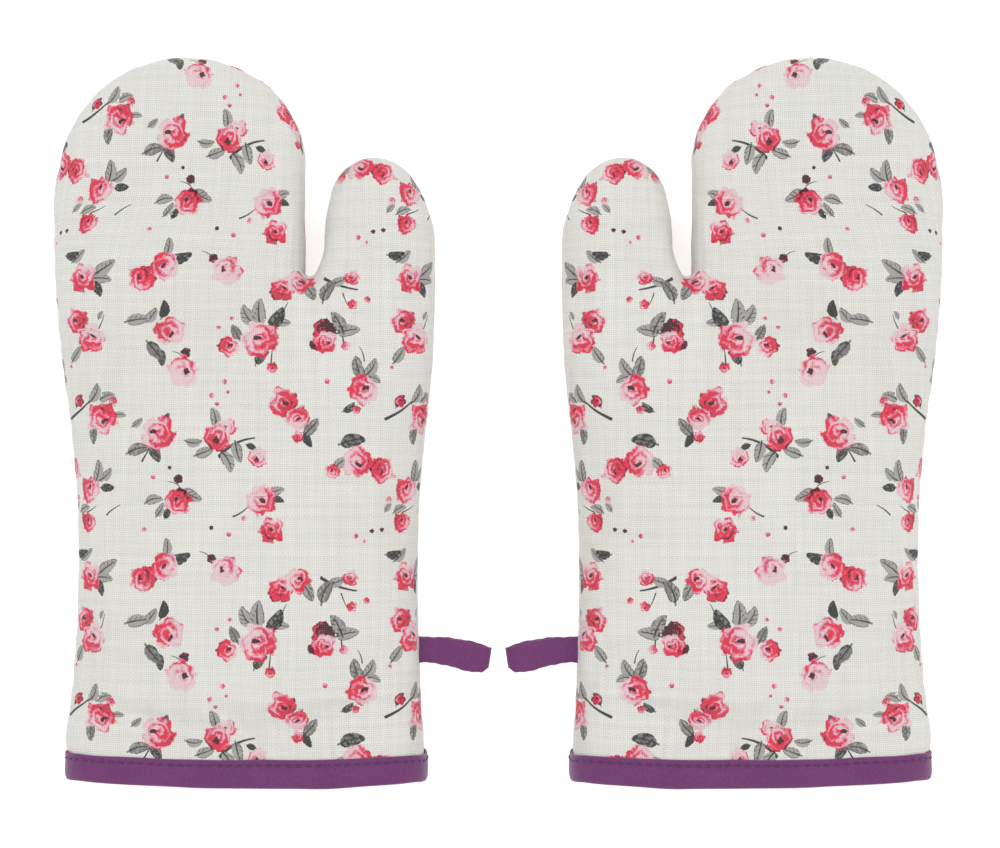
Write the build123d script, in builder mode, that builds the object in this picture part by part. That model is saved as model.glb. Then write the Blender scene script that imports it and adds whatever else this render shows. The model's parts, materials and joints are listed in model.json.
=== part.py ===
"""A pair of padded cotton oven mitts, lying flat with their thumbs towards each other.

Each mitt is a bag of three layers: a printed cotton shell, a sheet of wadding and a cotton lining.
Every layer is a front half and a back half that meet at the side seam. A folded tape binds the cuff,
a line of stitches holds it, and a hanging loop comes out of the side seam below the thumb.

A mitt folds across the knuckles and at the root of the thumb, so each half is made in three sections:
palm, fingers and thumb. The frame: X runs from the left mitt to the right one, with X = 0 halfway
between them, Y runs from the cuff to the fingertips and Z points up from the table.
"""

import os
from math import atan2, cos, degrees, hypot, radians, sin

from build123d import *

# Driving dimensions, in millimetres and degrees ----------------------------------------------

# Outline of one mitt, seen from above
mitt_length = 326.0
mitt_width = 171.3
cuff_width = 164.0
waist_width = 151.9
waist_height = 98.0  # from the cuff up to the narrowest place
waist_lean = 2.0  # how far the waist's middle lies to the thumb side of the mitt's middle
finger_width = 112.5
finger_length = 98.5  # from the crotch to the fingertips
finger_crown_radius = 58.0
finger_crown_place = 59.9  # from the little-finger side to the top of the fingers
little_side_spring = 71.0  # from the fingertips down to where the side is straight
index_side_spring = 48.0
thumb_length = 53.2  # from the crotch to the thumb's tip
thumb_crown_radius = 20.0
thumb_crown_place = 27.0  # from the thumb's outer side to its top
thumb_outer_spring = 39.9  # from the thumb's tip down to where its outer side is straight
thumb_inner_spring = 37.9
thumb_root_height = 58.0  # from the thumb's tip down to where its outer side starts to draw in
crotch_width = 9.0

# Height
cuff_thickness = 46.0
tip_thickness = 36.0
edge_round = 17.0

# Layers, from the outside in
shell_cloth = 0.8
wadding_pad = 5.0
lining_cloth = 0.8

# Cuff binding and its stitches
binding_cloth = 1.2
binding_height = 13.0
stitch_length = 3.0
stitch_pitch = 4.3
stitch_width = 0.7
stitch_rise = 0.45
stitch_inset = 2.6  # from the binding's upper edge down to the stitches

# Hanging loop
loop_width = 11.5
loop_reach = 32.0
loop_cloth = 1.1
loop_eye = 6.0  # the open height inside the loop near its end
loop_droop = 4.8  # how far the loop's end lies nearer the cuff than its root
loop_height = 59.5  # from the cuff up to the middle of the loop's root
loop_clearance = 0.35

# Folds
knuckle_fold_height = 28.0  # from the crotch up to the fold across the fingers
thumb_fold_height = 13.0  # from the crotch up to the inner end of the thumb's fold
thumb_fold_slant = 17.5
fold_gap = 0.5

# The pair
half_spacing = 28.6  # from the middle of the pair to the thumb's outer side

# Worked-out places, for the left mitt ---------------------------------------------------------

layers = shell_cloth + wadding_pad + lining_cloth
cuff_y = -mitt_length / 2
tip_y = mitt_length / 2
crotch_y = tip_y - finger_length
thumb_tip_y = crotch_y + thumb_length
thumb_x = -half_spacing
little_x = thumb_x - mitt_width
middle_x = (thumb_x + little_x) / 2
index_x = little_x + finger_width
notch_x = index_x + crotch_width / 2
waist_y = cuff_y + waist_height
waist_middle_x = middle_x + waist_lean
past_cuff = 30.0  # the forms run on past the cuff, and are cut there
headroom = 2 * cuff_thickness

sole_slope = -binding_cloth / (mitt_length - binding_height - edge_round)
top_slope = (tip_thickness - cuff_thickness) / mitt_length + sole_slope
fold_y = crotch_y + knuckle_fold_height
thumb_fold_y = crotch_y + thumb_fold_height


def sole_z(y):
    """Height of the shell's flat sole: the binding's thickness at the cuff, nothing at the fingertips."""
    return binding_cloth + (y - cuff_y - binding_height) * sole_slope


def top_z(y):
    """Height of the shell's flat top at a place along the mitt."""
    return sole_z(cuff_y) + cuff_thickness + (y - cuff_y) * top_slope


def sloped_plane(height, slope):
    """The plane that has this height at the cuff and this slope towards the fingertips."""
    return Plane(origin=(0, cuff_y, height), x_dir=(1, 0, 0), z_dir=(0, -slope, 1))


seam_plane = sloped_plane((sole_z(cuff_y) + top_z(cuff_y)) / 2, (sole_slope + top_slope) / 2)


def flank_radius(across, up, crown_radius):
    """Radius of the arc that runs from a straight side to a crown arc, tangent to both."""
    return (across**2 + up**2 - 2 * up * crown_radius) / (2 * (across - crown_radius))


def crown_quarter(side, top, crown_radius):
    """Two tangent arcs from a point with an upright side to the top of a dome."""
    (side_x, side_y), (top_x, top_y) = side, top
    across, up = abs(top_x - side_x), top_y - side_y
    inward = 1 if top_x > side_x else -1
    flank = flank_radius(across, up, crown_radius)
    if crown_radius < flank < across:
        # A dome wider than it is high: the tight arc stands at the side and the flat one on top
        flank, crown_radius = crown_radius, flank_radius(up, across, crown_radius)
    flank_centre = (side_x + inward * flank, side_y)
    crown_centre = (top_x, top_y - crown_radius)
    # The arcs meet on the line through both centres, on its outer side
    away_x, away_y = crown_centre[0] - flank_centre[0], crown_centre[1] - flank_centre[1]
    if flank < crown_radius:
        away_x, away_y = -away_x, -away_y
    reach = hypot(away_x, away_y)
    meet = (flank_centre[0] + flank * away_x / reach, flank_centre[1] + flank * away_y / reach)
    flank_turn = atan2(meet[1] - side_y, -inward * (meet[0] - flank_centre[0])) / 2
    flank_middle = (flank_centre[0] - inward * flank * cos(flank_turn), side_y + flank * sin(flank_turn))
    crown_turn = atan2(meet[1] - crown_centre[1], meet[0] - top_x)
    crown_turn = (crown_turn + radians(90)) / 2
    crown_middle = (top_x + crown_radius * cos(crown_turn), crown_centre[1] + crown_radius * sin(crown_turn))
    ThreePointArc(side, flank_middle, meet)
    ThreePointArc(meet, crown_middle, top)


def gentle_s(low, high):
    """Two equal arcs between two upright places of a side."""
    (low_x, low_y), (high_x, high_y) = low, high
    half = ((low_x + high_x) / 2, (low_y + high_y) / 2)
    radius = ((high_x - low_x) ** 2 + (high_y - low_y) ** 2) / (4 * abs(high_x - low_x))
    quarter = (high_y - low_y) / 4
    sag = (radius - (radius**2 - quarter**2) ** 0.5) * (1 if high_x > low_x else -1)
    ThreePointArc(low, (low_x + sag, low_y + quarter), half)
    ThreePointArc(half, (high_x - sag, high_y - quarter), high)


def flare(waist, cuff_x):
    """The arc from the waist down to the cuff, run on past it. Returns its lower end."""
    drop = waist[1] - cuff_y
    spread = cuff_x - waist[0]
    radius = (spread**2 + drop**2) / (2 * abs(spread))
    outward = 1 if spread > 0 else -1

    def spot(depth):
        return (waist[0] + outward * (radius - (radius**2 - depth**2) ** 0.5), waist[1] - depth)

    end = spot(drop + past_cuff)
    ThreePointArc(waist, spot((drop + past_cuff) / 2), end)
    return end


def mitt_outline():
    """The closed outline at the side seam, of arcs and straight runs that are tangent to each other."""
    little_spring = (little_x, tip_y - little_side_spring)
    finger_top = (little_x + finger_crown_place, tip_y)
    index_spring = (index_x, tip_y - index_side_spring)
    crotch_start = (index_x, crotch_y + crotch_width / 2)
    crotch_end = (index_x + crotch_width, crotch_start[1])
    inner_spring = (crotch_end[0], thumb_tip_y - thumb_inner_spring)
    thumb_top = (thumb_x - thumb_crown_place, thumb_tip_y)
    outer_spring = (thumb_x, thumb_tip_y - thumb_outer_spring)
    thumb_root = (thumb_x, thumb_tip_y - thumb_root_height)
    little_waist = (waist_middle_x - waist_width / 2, waist_y)
    thumb_waist = (waist_middle_x + waist_width / 2, waist_y)

    crown_quarter(little_spring, finger_top, finger_crown_radius)
    crown_quarter(index_spring, finger_top, finger_crown_radius)
    Line(index_spring, crotch_start)
    ThreePointArc(crotch_start, (notch_x, crotch_y), crotch_end)
    Line(crotch_end, inner_spring)
    crown_quarter(inner_spring, thumb_top, thumb_crown_radius)
    crown_quarter(outer_spring, thumb_top, thumb_crown_radius)
    Line(outer_spring, thumb_root)
    gentle_s(thumb_waist, thumb_root)
    gentle_s(little_waist, little_spring)
    little_end = flare(little_waist, middle_x - cuff_width / 2)
    thumb_end = flare(thumb_waist, middle_x + cuff_width / 2)
    Line(little_end, thumb_end)


def past(y):
    """The upright plane across the mitt at a place along it, facing the fingertips."""
    return Plane(origin=(0, y, 0), x_dir=(1, 0, 0), z_dir=(0, 1, 0))


def puffed_form(inset, cuff_only=False):
    """The mitt's outside drawn in by inset on every side: flat sole, sloping top and rounded edges."""
    with BuildPart() as form:
        with BuildSketch(Plane.XY.offset(-headroom)):
            with BuildLine():
                mitt_outline()
            make_face()
            if inset:
                offset(amount=-inset, mode=Mode.REPLACE)
        extrude(amount=headroom * 2)
        split(bisect_by=sloped_plane(sole_z(cuff_y) + inset, sole_slope), keep=Keep.TOP)
        split(bisect_by=sloped_plane(top_z(cuff_y) - inset, top_slope), keep=Keep.BOTTOM)
        split(bisect_by=past(cuff_y - past_cuff / 2), keep=Keep.TOP)
        if cuff_only:
            split(bisect_by=past(cuff_y + binding_height * 2), keep=Keep.BOTTOM)
        faces = form.faces().sort_by(Axis.Z)
        sole_rims = faces[0].edges().sort_by(Axis.Y)[1:]
        top_rims = faces[-1].edges().sort_by(Axis.Y)[1:]
        if cuff_only:
            sole_rims = sole_rims[:-1]
            top_rims = top_rims[:-1]
        fillet(sole_rims + top_rims, radius=edge_round - inset)
    return form.part


# The mitt's sections, as upright blocks --------------------------------------------------------

fold_cos = cos(radians(thumb_fold_slant))
fold_sin = sin(radians(thumb_fold_slant))


def fingers_block(shift):
    """All that lies past the knuckle fold, moved towards the fingertips by shift."""
    with BuildPart() as block:
        with BuildSketch(Plane.XY.offset(-headroom)):
            with Locations((notch_x, fold_y + shift)):
                Rectangle(mitt_width, mitt_length, align=(Align.MAX, Align.MIN))
        extrude(amount=headroom * 2)
    return block.part


def thumb_block(shift):
    """All that lies past the thumb's slanted fold, moved towards the thumb's tip by shift."""
    fold_run = half_spacing + mitt_width
    start = (notch_x, thumb_fold_y + shift / fold_cos)
    end = (notch_x + fold_run * fold_cos, start[1] - fold_run * fold_sin)
    with BuildPart() as block:
        with BuildSketch(Plane.XY.offset(-headroom)):
            with BuildLine():
                Polyline(start, end, (end[0], tip_y * 2), (notch_x, tip_y * 2), close=True)
            make_face()
        extrude(amount=headroom * 2)
    return block.part


# Pieces of the left mitt -----------------------------------------------------------------------

insets = {
    "shell": (0, shell_cloth),
    "wadding": (shell_cloth, shell_cloth + wadding_pad),
    "lining": (shell_cloth + wadding_pad, layers),
}
forms = {inset: puffed_form(inset) for inset in sorted({edge for pair in insets.values() for edge in pair})}
halves = {"front": Keep.TOP, "back": Keep.BOTTOM}
pieces = {}

for layer, (outer, inner) in insets.items():
    for half, kept in halves.items():
        with BuildPart() as bag:
            add(forms[outer])
            add(forms[inner], mode=Mode.SUBTRACT)
            split(bisect_by=past(cuff_y + binding_cloth), keep=Keep.TOP)
            split(bisect_by=seam_plane, keep=kept)
        with BuildPart() as palm:
            add(bag.part)
            add(fingers_block(-fold_gap / 2), mode=Mode.SUBTRACT)
            add(thumb_block(-fold_gap / 2), mode=Mode.SUBTRACT)
        with BuildPart() as fingers:
            add(bag.part)
            add(fingers_block(fold_gap / 2), mode=Mode.INTERSECT)
        with BuildPart() as thumb:
            add(bag.part)
            add(thumb_block(fold_gap / 2), mode=Mode.INTERSECT)
        pieces[f"{half}_{layer}_palm"] = palm.part
        pieces[f"{half}_{layer}_fingers"] = fingers.part
        pieces[f"{half}_{layer}_thumb"] = thumb.part

# The binding is a folded tape: one leg outside the shell, one inside the lining, the fold between
binding_outside = puffed_form(-binding_cloth, cuff_only=True)
with BuildPart() as bound_cloth:
    add(forms[0])
    add(forms[layers], mode=Mode.SUBTRACT)
    split(bisect_by=past(cuff_y + binding_cloth), keep=Keep.TOP)
with BuildPart() as binding:
    add(binding_outside)
    add(puffed_form(layers + binding_cloth, cuff_only=True), mode=Mode.SUBTRACT)
    split(bisect_by=past(cuff_y), keep=Keep.TOP)
    split(bisect_by=past(cuff_y + binding_height), keep=Keep.BOTTOM)
    add(bound_cloth.part, mode=Mode.SUBTRACT)
pieces["cuff_binding"] = binding.part

# Stitches run round the binding near its upper edge, lying on its face
stitch_y = cuff_y + binding_height - stitch_inset
with BuildPart() as stitch_ring:
    add(puffed_form(-binding_cloth - stitch_rise, cuff_only=True))
    add(binding_outside, mode=Mode.SUBTRACT)
    split(bisect_by=past(stitch_y - stitch_width / 2), keep=Keep.TOP)
    split(bisect_by=past(stitch_y + stitch_width / 2), keep=Keep.BOTTOM)
with BuildPart() as stitched_section:
    add(binding_outside)
    split(bisect_by=past(stitch_y), keep=Keep.BOTTOM)
stitch_path = stitched_section.faces().sort_by(Axis.Y)[-1].outer_wire()
stitch_count = round(stitch_path.length / stitch_pitch)
with BuildPart() as dashes:
    with Locations(*(stitch_path.location_at(i / stitch_count) for i in range(stitch_count))):
        Box(stitch_width * 4, stitch_width * 4, stitch_length)
with BuildPart() as stitches:
    add(stitch_ring.part)
    add(dashes.part, mode=Mode.INTERSECT)
pieces["binding_stitches"] = stitches.part

# The hanging loop is a folded tape, caught in the side seam at its root, open near its far end
loop_y = cuff_y + loop_height
loop_z = (sole_z(loop_y) + top_z(loop_y)) / 2
with BuildSketch() as wall_sketch:
    with BuildLine():
        mitt_outline()
    make_face()
    with Locations((thumb_x, loop_y)):
        Rectangle(mitt_width, loop_width, mode=Mode.INTERSECT)
wall_x = wall_sketch.sketch.bounding_box().max.X
root_radius = loop_cloth * 1.05
eye_radius = loop_eye / 2
loop_root_x = wall_x + loop_clearance + root_radius
loop_end_x = wall_x + loop_reach - eye_radius - loop_cloth


def drop_profile(root, end):
    """A drop-shaped outline along the loop: a round root, a larger round end and their two tangents."""
    with BuildSketch(Plane.XZ.offset(-loop_y)) as profile:
        with Locations((loop_root_x, loop_z)):
            Circle(root)
        with Locations((loop_end_x, loop_z)):
            Circle(end)
        make_hull()
    return profile.sketch


with BuildPart() as loop:
    with BuildSketch(Plane.XZ.offset(-loop_y)):
        add(drop_profile(root_radius, eye_radius + loop_cloth))
        add(drop_profile(root_radius - loop_cloth, eye_radius), mode=Mode.SUBTRACT)
    extrude(amount=loop_width * 2, both=True)
    with BuildSketch(Plane.XY.offset(-headroom)):
        with BuildLine():
            Polyline(
                (loop_root_x - root_radius, loop_y - loop_width / 2),
                (loop_root_x + root_radius, loop_y - loop_width / 2),
                (wall_x + loop_reach, loop_y - loop_width / 2 - loop_droop),
                (wall_x + loop_reach, loop_y + loop_width / 2 - loop_droop),
                (loop_root_x + root_radius, loop_y + loop_width / 2),
                (loop_root_x - root_radius, loop_y + loop_width / 2),
                close=True,
            )
        make_face()
    extrude(amount=headroom * 2, mode=Mode.INTERSECT)
pieces["hanging_loop"] = loop.part

# Files -----------------------------------------------------------------------------------------

os.makedirs("parts", exist_ok=True)
for name, solid in pieces.items():
    with BuildPart() as left_piece:
        add(solid)
    left_piece.part.label = f"left_{name}"
    export_step(left_piece.part, f"parts/left_{name}.step")
    with BuildPart() as right_piece:
        add(mirror(solid, about=Plane.YZ))
    right_piece.part.label = f"right_{name}"
    export_step(right_piece.part, f"parts/right_{name}.step")
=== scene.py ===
"""The look of a pair of padded cotton oven mitts: printed shells, wadding, linings, bound cuffs and loops.

Each mitt is made from its sewing outline. The outline is puffed up into a front and a back panel, the
cloth is relaxed with a short cloth simulation, and the wadding and the lining follow the shell inwards.
The right mitt is the left one mirrored, print and all.
"""

import json
import math

import bpy
import numpy as np
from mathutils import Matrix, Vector, geometry


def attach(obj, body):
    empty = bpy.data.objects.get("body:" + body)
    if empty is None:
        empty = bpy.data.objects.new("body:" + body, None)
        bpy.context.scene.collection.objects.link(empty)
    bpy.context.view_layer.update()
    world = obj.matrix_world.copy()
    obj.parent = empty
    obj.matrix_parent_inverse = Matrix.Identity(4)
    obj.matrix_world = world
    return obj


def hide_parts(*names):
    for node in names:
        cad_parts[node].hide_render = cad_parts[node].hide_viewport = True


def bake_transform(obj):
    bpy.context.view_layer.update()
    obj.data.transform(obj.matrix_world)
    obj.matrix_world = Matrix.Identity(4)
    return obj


bl_info = {
    "name": "Oven Mitts",
    "version": (1, 0, 0),
    "blender": (4, 5, 0),
    "location": "3D View > Sidebar > Mitts",
    "description": "Builds a pair of padded oven mitts with a rose print, bound cuffs and hanging loops",
    "category": "Add Mesh",
}

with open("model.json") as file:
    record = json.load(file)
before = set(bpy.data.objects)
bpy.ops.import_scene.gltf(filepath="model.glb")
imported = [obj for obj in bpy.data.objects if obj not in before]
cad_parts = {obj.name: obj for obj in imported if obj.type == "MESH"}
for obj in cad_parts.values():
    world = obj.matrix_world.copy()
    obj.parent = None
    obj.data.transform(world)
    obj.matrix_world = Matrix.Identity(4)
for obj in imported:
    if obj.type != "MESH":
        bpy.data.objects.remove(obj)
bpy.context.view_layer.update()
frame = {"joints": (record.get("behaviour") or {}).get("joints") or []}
MM = 0.001


# ---------------------------------------------------------------------------------------------------------
# Sizes and colours
# ---------------------------------------------------------------------------------------------------------


def length(name, description, millimetres):
    """A length that a user may change, given in millimetres."""
    return bpy.props.FloatProperty(
        name=name, description=description, default=millimetres * MM, unit="LENGTH", subtype="DISTANCE"
    )


def colour(name, description, rgb):
    """A colour that a user may change, as linear red, green and blue."""
    return bpy.props.FloatVectorProperty(
        name=name, description=description, default=rgb, size=3, min=0, max=1, subtype="COLOR"
    )


def share(name, description, value):
    """A plain number that a user may change."""
    return bpy.props.FloatProperty(name=name, description=description, default=value)


class MittForm(bpy.types.PropertyGroup):
    """The mitt's sewing outline and its height."""

    mitt_length: length("Mitt length", "From the cuff to the fingertips", 326.0)
    mitt_width: length("Mitt width", "From the little finger's side to the thumb's", 171.3)
    cuff_width: length("Cuff width", "Width across the cuff", 164.0)
    waist_width: length("Waist width", "Width at the narrowest place above the cuff", 151.9)
    waist_height: length("Waist height", "From the cuff up to the narrowest place", 98.0)
    waist_lean: length("Waist lean", "How far the waist lies to the thumb's side", 2.0)
    finger_width: length("Finger width", "Width across the four fingers", 112.5)
    finger_length: length("Finger length", "From the crotch to the fingertips", 98.5)
    finger_crown: length("Finger crown radius", "Roundness of the fingertips", 58.0)
    finger_crown_place: length("Finger crown place", "From the little finger's side to the top", 59.9)
    little_side_spring: length("Little side spring", "From the fingertips down to the straight side", 71.0)
    index_side_spring: length("Index side spring", "From the fingertips down to the straight side", 48.0)
    thumb_length: length("Thumb length", "From the crotch to the thumb's tip", 53.2)
    thumb_crown: length("Thumb crown radius", "Roundness of the thumb's tip", 20.0)
    thumb_crown_place: length("Thumb crown place", "From the thumb's outer side to its top", 27.0)
    thumb_outer_spring: length("Thumb outer spring", "From the tip down to the straight outer side", 39.9)
    thumb_inner_spring: length("Thumb inner spring", "From the tip down to the straight inner side", 37.9)
    thumb_root_height: length("Thumb root", "From the thumb's tip down to where its side draws in", 58.0)
    crotch_width: length("Crotch width", "Width of the notch between fingers and thumb", 9.0)
    half_spacing: length("Half spacing", "From the middle of the pair to a thumb's outer side", 28.6)
    cuff_thickness: length("Cuff thickness", "Height of the mitt at its cuff", 46.0)
    tip_thickness: length("Tip thickness", "Height of the mitt at its fingertips", 36.0)
    edge_round: length("Edge round", "How far in from the seam the cloth still curves", 27.0)
    edge_power: share("Edge fullness", "2 is a round edge, more is a fuller one", 2.55)
    cloth_step: length("Cloth step", "Spacing of the cloth's mesh before it is subdivided", 4.6)


class MittLayers(bpy.types.PropertyGroup):
    """The layers, the binding and the loop."""

    shell_cloth: length("Shell cloth", "Thickness of the printed cotton", 0.8)
    wadding_pad: length("Wadding", "Thickness of the wadding", 5.0)
    lining_cloth: length("Lining cloth", "Thickness of the lining", 0.8)
    quilt_pitch: length("Quilting pitch", "Distance between the lining's quilting lines", 34.0)
    tape_cloth: length("Tape thickness", "Thickness of the folded binding tape", 1.2)
    tape_height: length("Tape height", "Height of the cuff's binding", 13.0)
    stitch_inset: length("Stitch inset", "From the binding's upper edge down to the stitches", 2.6)
    stitch_pitch: length("Stitch pitch", "From one stitch to the next", 4.3)
    stitch_length: length("Stitch length", "Length of one stitch", 2.9)
    cuff_lift: length("Cuff lift", "How far the cuff's edge rises towards the little finger's side", 3.9)
    loop_width: length("Loop width", "Width of the hanging loop's tape", 11.5)
    loop_reach: length("Loop reach", "From the side seam to the loop's end", 32.0)
    loop_eye: length("Loop eye", "Open height inside the loop near its end", 6.0)
    loop_droop: length("Loop droop", "How far the loop's end leans towards the cuff", 4.8)
    loop_height: length("Loop height", "From the cuff up to the loop's root", 59.5)


class MittColours(bpy.types.PropertyGroup):
    """Cloth, ink, tape and thread colours."""

    cotton: colour("Cotton", "The shell's unprinted cotton", (0.80, 0.793, 0.757))
    lining: colour("Lining", "The plain lining", (0.76, 0.73, 0.67))
    wadding: colour("Wadding", "The wadding", (0.86, 0.85, 0.82))
    blush: colour("Blush ink", "The palest petals", (0.82, 0.47, 0.53))
    pink: colour("Pink ink", "Pink petals", (0.82, 0.19, 0.29))
    crimson: colour("Crimson ink", "Red petals", (0.74, 0.03, 0.075))
    maroon: colour("Maroon ink", "The darkest petals and the flowers' hearts", (0.075, 0.012, 0.024))
    pale_leaf: colour("Pale leaf ink", "Light grey leaves", (0.40, 0.385, 0.37))
    dark_leaf: colour("Dark leaf ink", "Slate leaves, veins and stems", (0.035, 0.038, 0.038))
    tape: colour("Tape", "The binding and the loops", (0.157, 0.040, 0.150))
    thread: colour("Thread", "The binding's stitches", (0.085, 0.016, 0.098))
    thread_pitch: length("Thread pitch", "Distance between the cotton's threads", 0.93)


class MittStudio(bpy.types.PropertyGroup):
    """Floor, lights and camera."""

    camera_height: length("Camera height", "Height of the camera above the table", 1020.0)
    view_width: length("View width", "Width that the camera sees at the side seams' height", 450.8)
    floor: colour("Floor", "The pale floor", (0.93, 0.93, 0.93))
    key_power: share("Key light", "Power of the overhead light, in watts", 10.0)
    sky: share("Sky", "Even light from all around", 0.70)


# ---------------------------------------------------------------------------------------------------------
# Shader helpers
# ---------------------------------------------------------------------------------------------------------


class Value:
    """A number socket in a material. Sums and products of it add Math nodes."""

    def __init__(self, nodes, socket):
        self.nodes = nodes
        self.socket = socket

    def _math(self, operation, *others, clamp=False):
        settings = {"operation": operation, "use_clamp": clamp}
        return self.nodes.add("ShaderNodeMath", settings, self, *others).value()

    def __add__(self, other):
        return self._math("ADD", other)

    def __radd__(self, other):
        return self._math("ADD", other)

    def __sub__(self, other):
        return self._math("SUBTRACT", other)

    def __rsub__(self, other):
        return self.nodes.add("ShaderNodeMath", {"operation": "SUBTRACT"}, other, self).value()

    def __mul__(self, other):
        return self._math("MULTIPLY", other)

    def __rmul__(self, other):
        return self._math("MULTIPLY", other)

    def __truediv__(self, other):
        return self._math("DIVIDE", other)

    def __neg__(self):
        return self._math("MULTIPLY", -1.0)

    def __abs__(self):
        return self._math("ABSOLUTE")

    def __pow__(self, other):
        return self._math("POWER", other)

    def __lt__(self, other):
        return self._math("LESS_THAN", other)

    def __gt__(self, other):
        return self._math("GREATER_THAN", other)

    def sin(self):
        return self._math("SINE")

    def sqrt(self):
        return self._math("SQRT")

    def fract(self):
        return self._math("FRACT")

    def floor(self):
        return self._math("FLOOR")

    def atan2(self, other):
        return self._math("ARCTAN2", other)

    def clamped(self):
        return self._math("ADD", 0.0, clamp=True)

    def highest(self, other):
        return self._math("MAXIMUM", other)

    def band(self, low, high):
        """0 below low, 1 above high and straight between them."""
        return self.nodes.add("ShaderNodeMapRange", {"clamp": True}, self, low, high, 0.0, 1.0).value()


class Built:
    """A node that has been added, with its outputs at hand."""

    def __init__(self, nodes, node):
        self.nodes = nodes
        self.node = node

    def value(self, output=0):
        return Value(self.nodes, self.node.outputs[output])

    def socket(self, output=0):
        return self.node.outputs[output]


class Nodes:
    """A material's nodes, and one method that adds any of them."""

    def __init__(self, name):
        self.material = bpy.data.materials.new(name)
        self.material.use_nodes = True
        self.tree = self.material.node_tree
        self.shader = self.tree.nodes["Principled BSDF"]

    def feed(self, socket, thing):
        """Links a socket, or sets its number or colour."""
        if isinstance(thing, Value):
            self.tree.links.new(thing.socket, socket)
        elif isinstance(thing, Built):
            self.tree.links.new(thing.socket(), socket)
        elif isinstance(thing, bpy.types.NodeSocket):
            self.tree.links.new(thing, socket)
        elif thing is not None:
            if hasattr(thing, "__len__") and len(thing) == 3 and len(socket.default_value) == 4:
                thing = (*thing, 1.0)
            socket.default_value = thing

    def add(self, kind, settings=None, *inputs, **named):
        """Adds a node: its type, its settings, its sockets in order, and its sockets by name."""
        node = self.tree.nodes.new(kind)
        for key, setting in (settings or {}).items():
            setattr(node, key, setting)
        for socket, thing in zip(node.inputs, inputs):
            self.feed(socket, thing)
        for name, thing in named.items():
            self.feed(node.inputs[name.replace("_", " ")], thing)
        return Built(self, node)

    def attribute(self, name):
        """A vector that was stored on the mesh, as its x, y and z."""
        node = self.add("ShaderNodeAttribute", {"attribute_name": name})
        parts = self.add("ShaderNodeSeparateXYZ", None, node.socket("Vector"))
        return parts.value(0), parts.value(1), parts.value(2)

    def vector(self, x, y, z=0.0):
        return self.add("ShaderNodeCombineXYZ", None, x, y, z)

    def noise(self, place, scale, detail=2.0, roughness=0.5):
        """Soft noise, 0 to 1."""
        settings = {"noise_dimensions": "3D"}
        sockets = {"Vector": place, "Scale": scale, "Detail": detail, "Roughness": roughness}
        return self.add("ShaderNodeTexNoise", settings, **sockets)

    def mix(self, share_, first, second, blend="MIX"):
        """A colour between first and second."""
        node = self.tree.nodes.new("ShaderNodeMix")
        node.data_type = "RGBA"
        node.blend_type = blend
        node.clamp_factor = True
        self.feed(node.inputs[0], share_)
        self.feed(node.inputs[6], first)
        self.feed(node.inputs[7], second)
        return node.outputs[2]

    def toned(self, colour_, tone):
        """A colour made lighter or darker by a varying tone."""
        return self.mix(1.0, colour_, self.vector(tone, tone, tone).socket(), "MULTIPLY")

    def bump(self, height, distance, strength=1.0):
        """A Bump node with that height, in metres."""
        return self.add("ShaderNodeBump", None, Strength=strength, Distance=distance, Height=height)

    def finish(self, **sockets):
        """Sets the Principled shader's sockets."""
        for name, thing in sockets.items():
            self.feed(self.shader.inputs[name.replace("_", " ")], thing)
        return self.material


def plain_weave(nodes, across, along, pitch, slub):
    """A plain weave, from places on the cloth in millimetres: its height and each thread's own shade."""
    wander = nodes.noise(nodes.vector(across * 0.09, along * 0.09), 1.0, 3.0, 0.6)
    a = across / pitch + wander.value(0) * slub
    b = along / pitch + (1 - wander.value(0)) * slub
    column, row = a.floor(), b.floor()
    u, v = a.fract() * 2 - 1, b.fract() * 2 - 1
    over = ((column + row) * 0.5).fract() * 2 > 0.5
    warp = (1 - u * u) * (1 - v * v * 0.45)
    weft = (1 - v * v) * (1 - u * u * 0.45)
    height = warp * over + weft * (1 - over)
    warp_shade = nodes.noise(nodes.vector(column * 0.37, along * 0.012, 3.0), 1.0, 3.0, 0.7).value(0)
    weft_shade = nodes.noise(nodes.vector(across * 0.012, row * 0.37, 9.0), 1.0, 3.0, 0.7).value(0)
    shade = warp_shade * over + weft_shade * (1 - over)
    return height, shade


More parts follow.
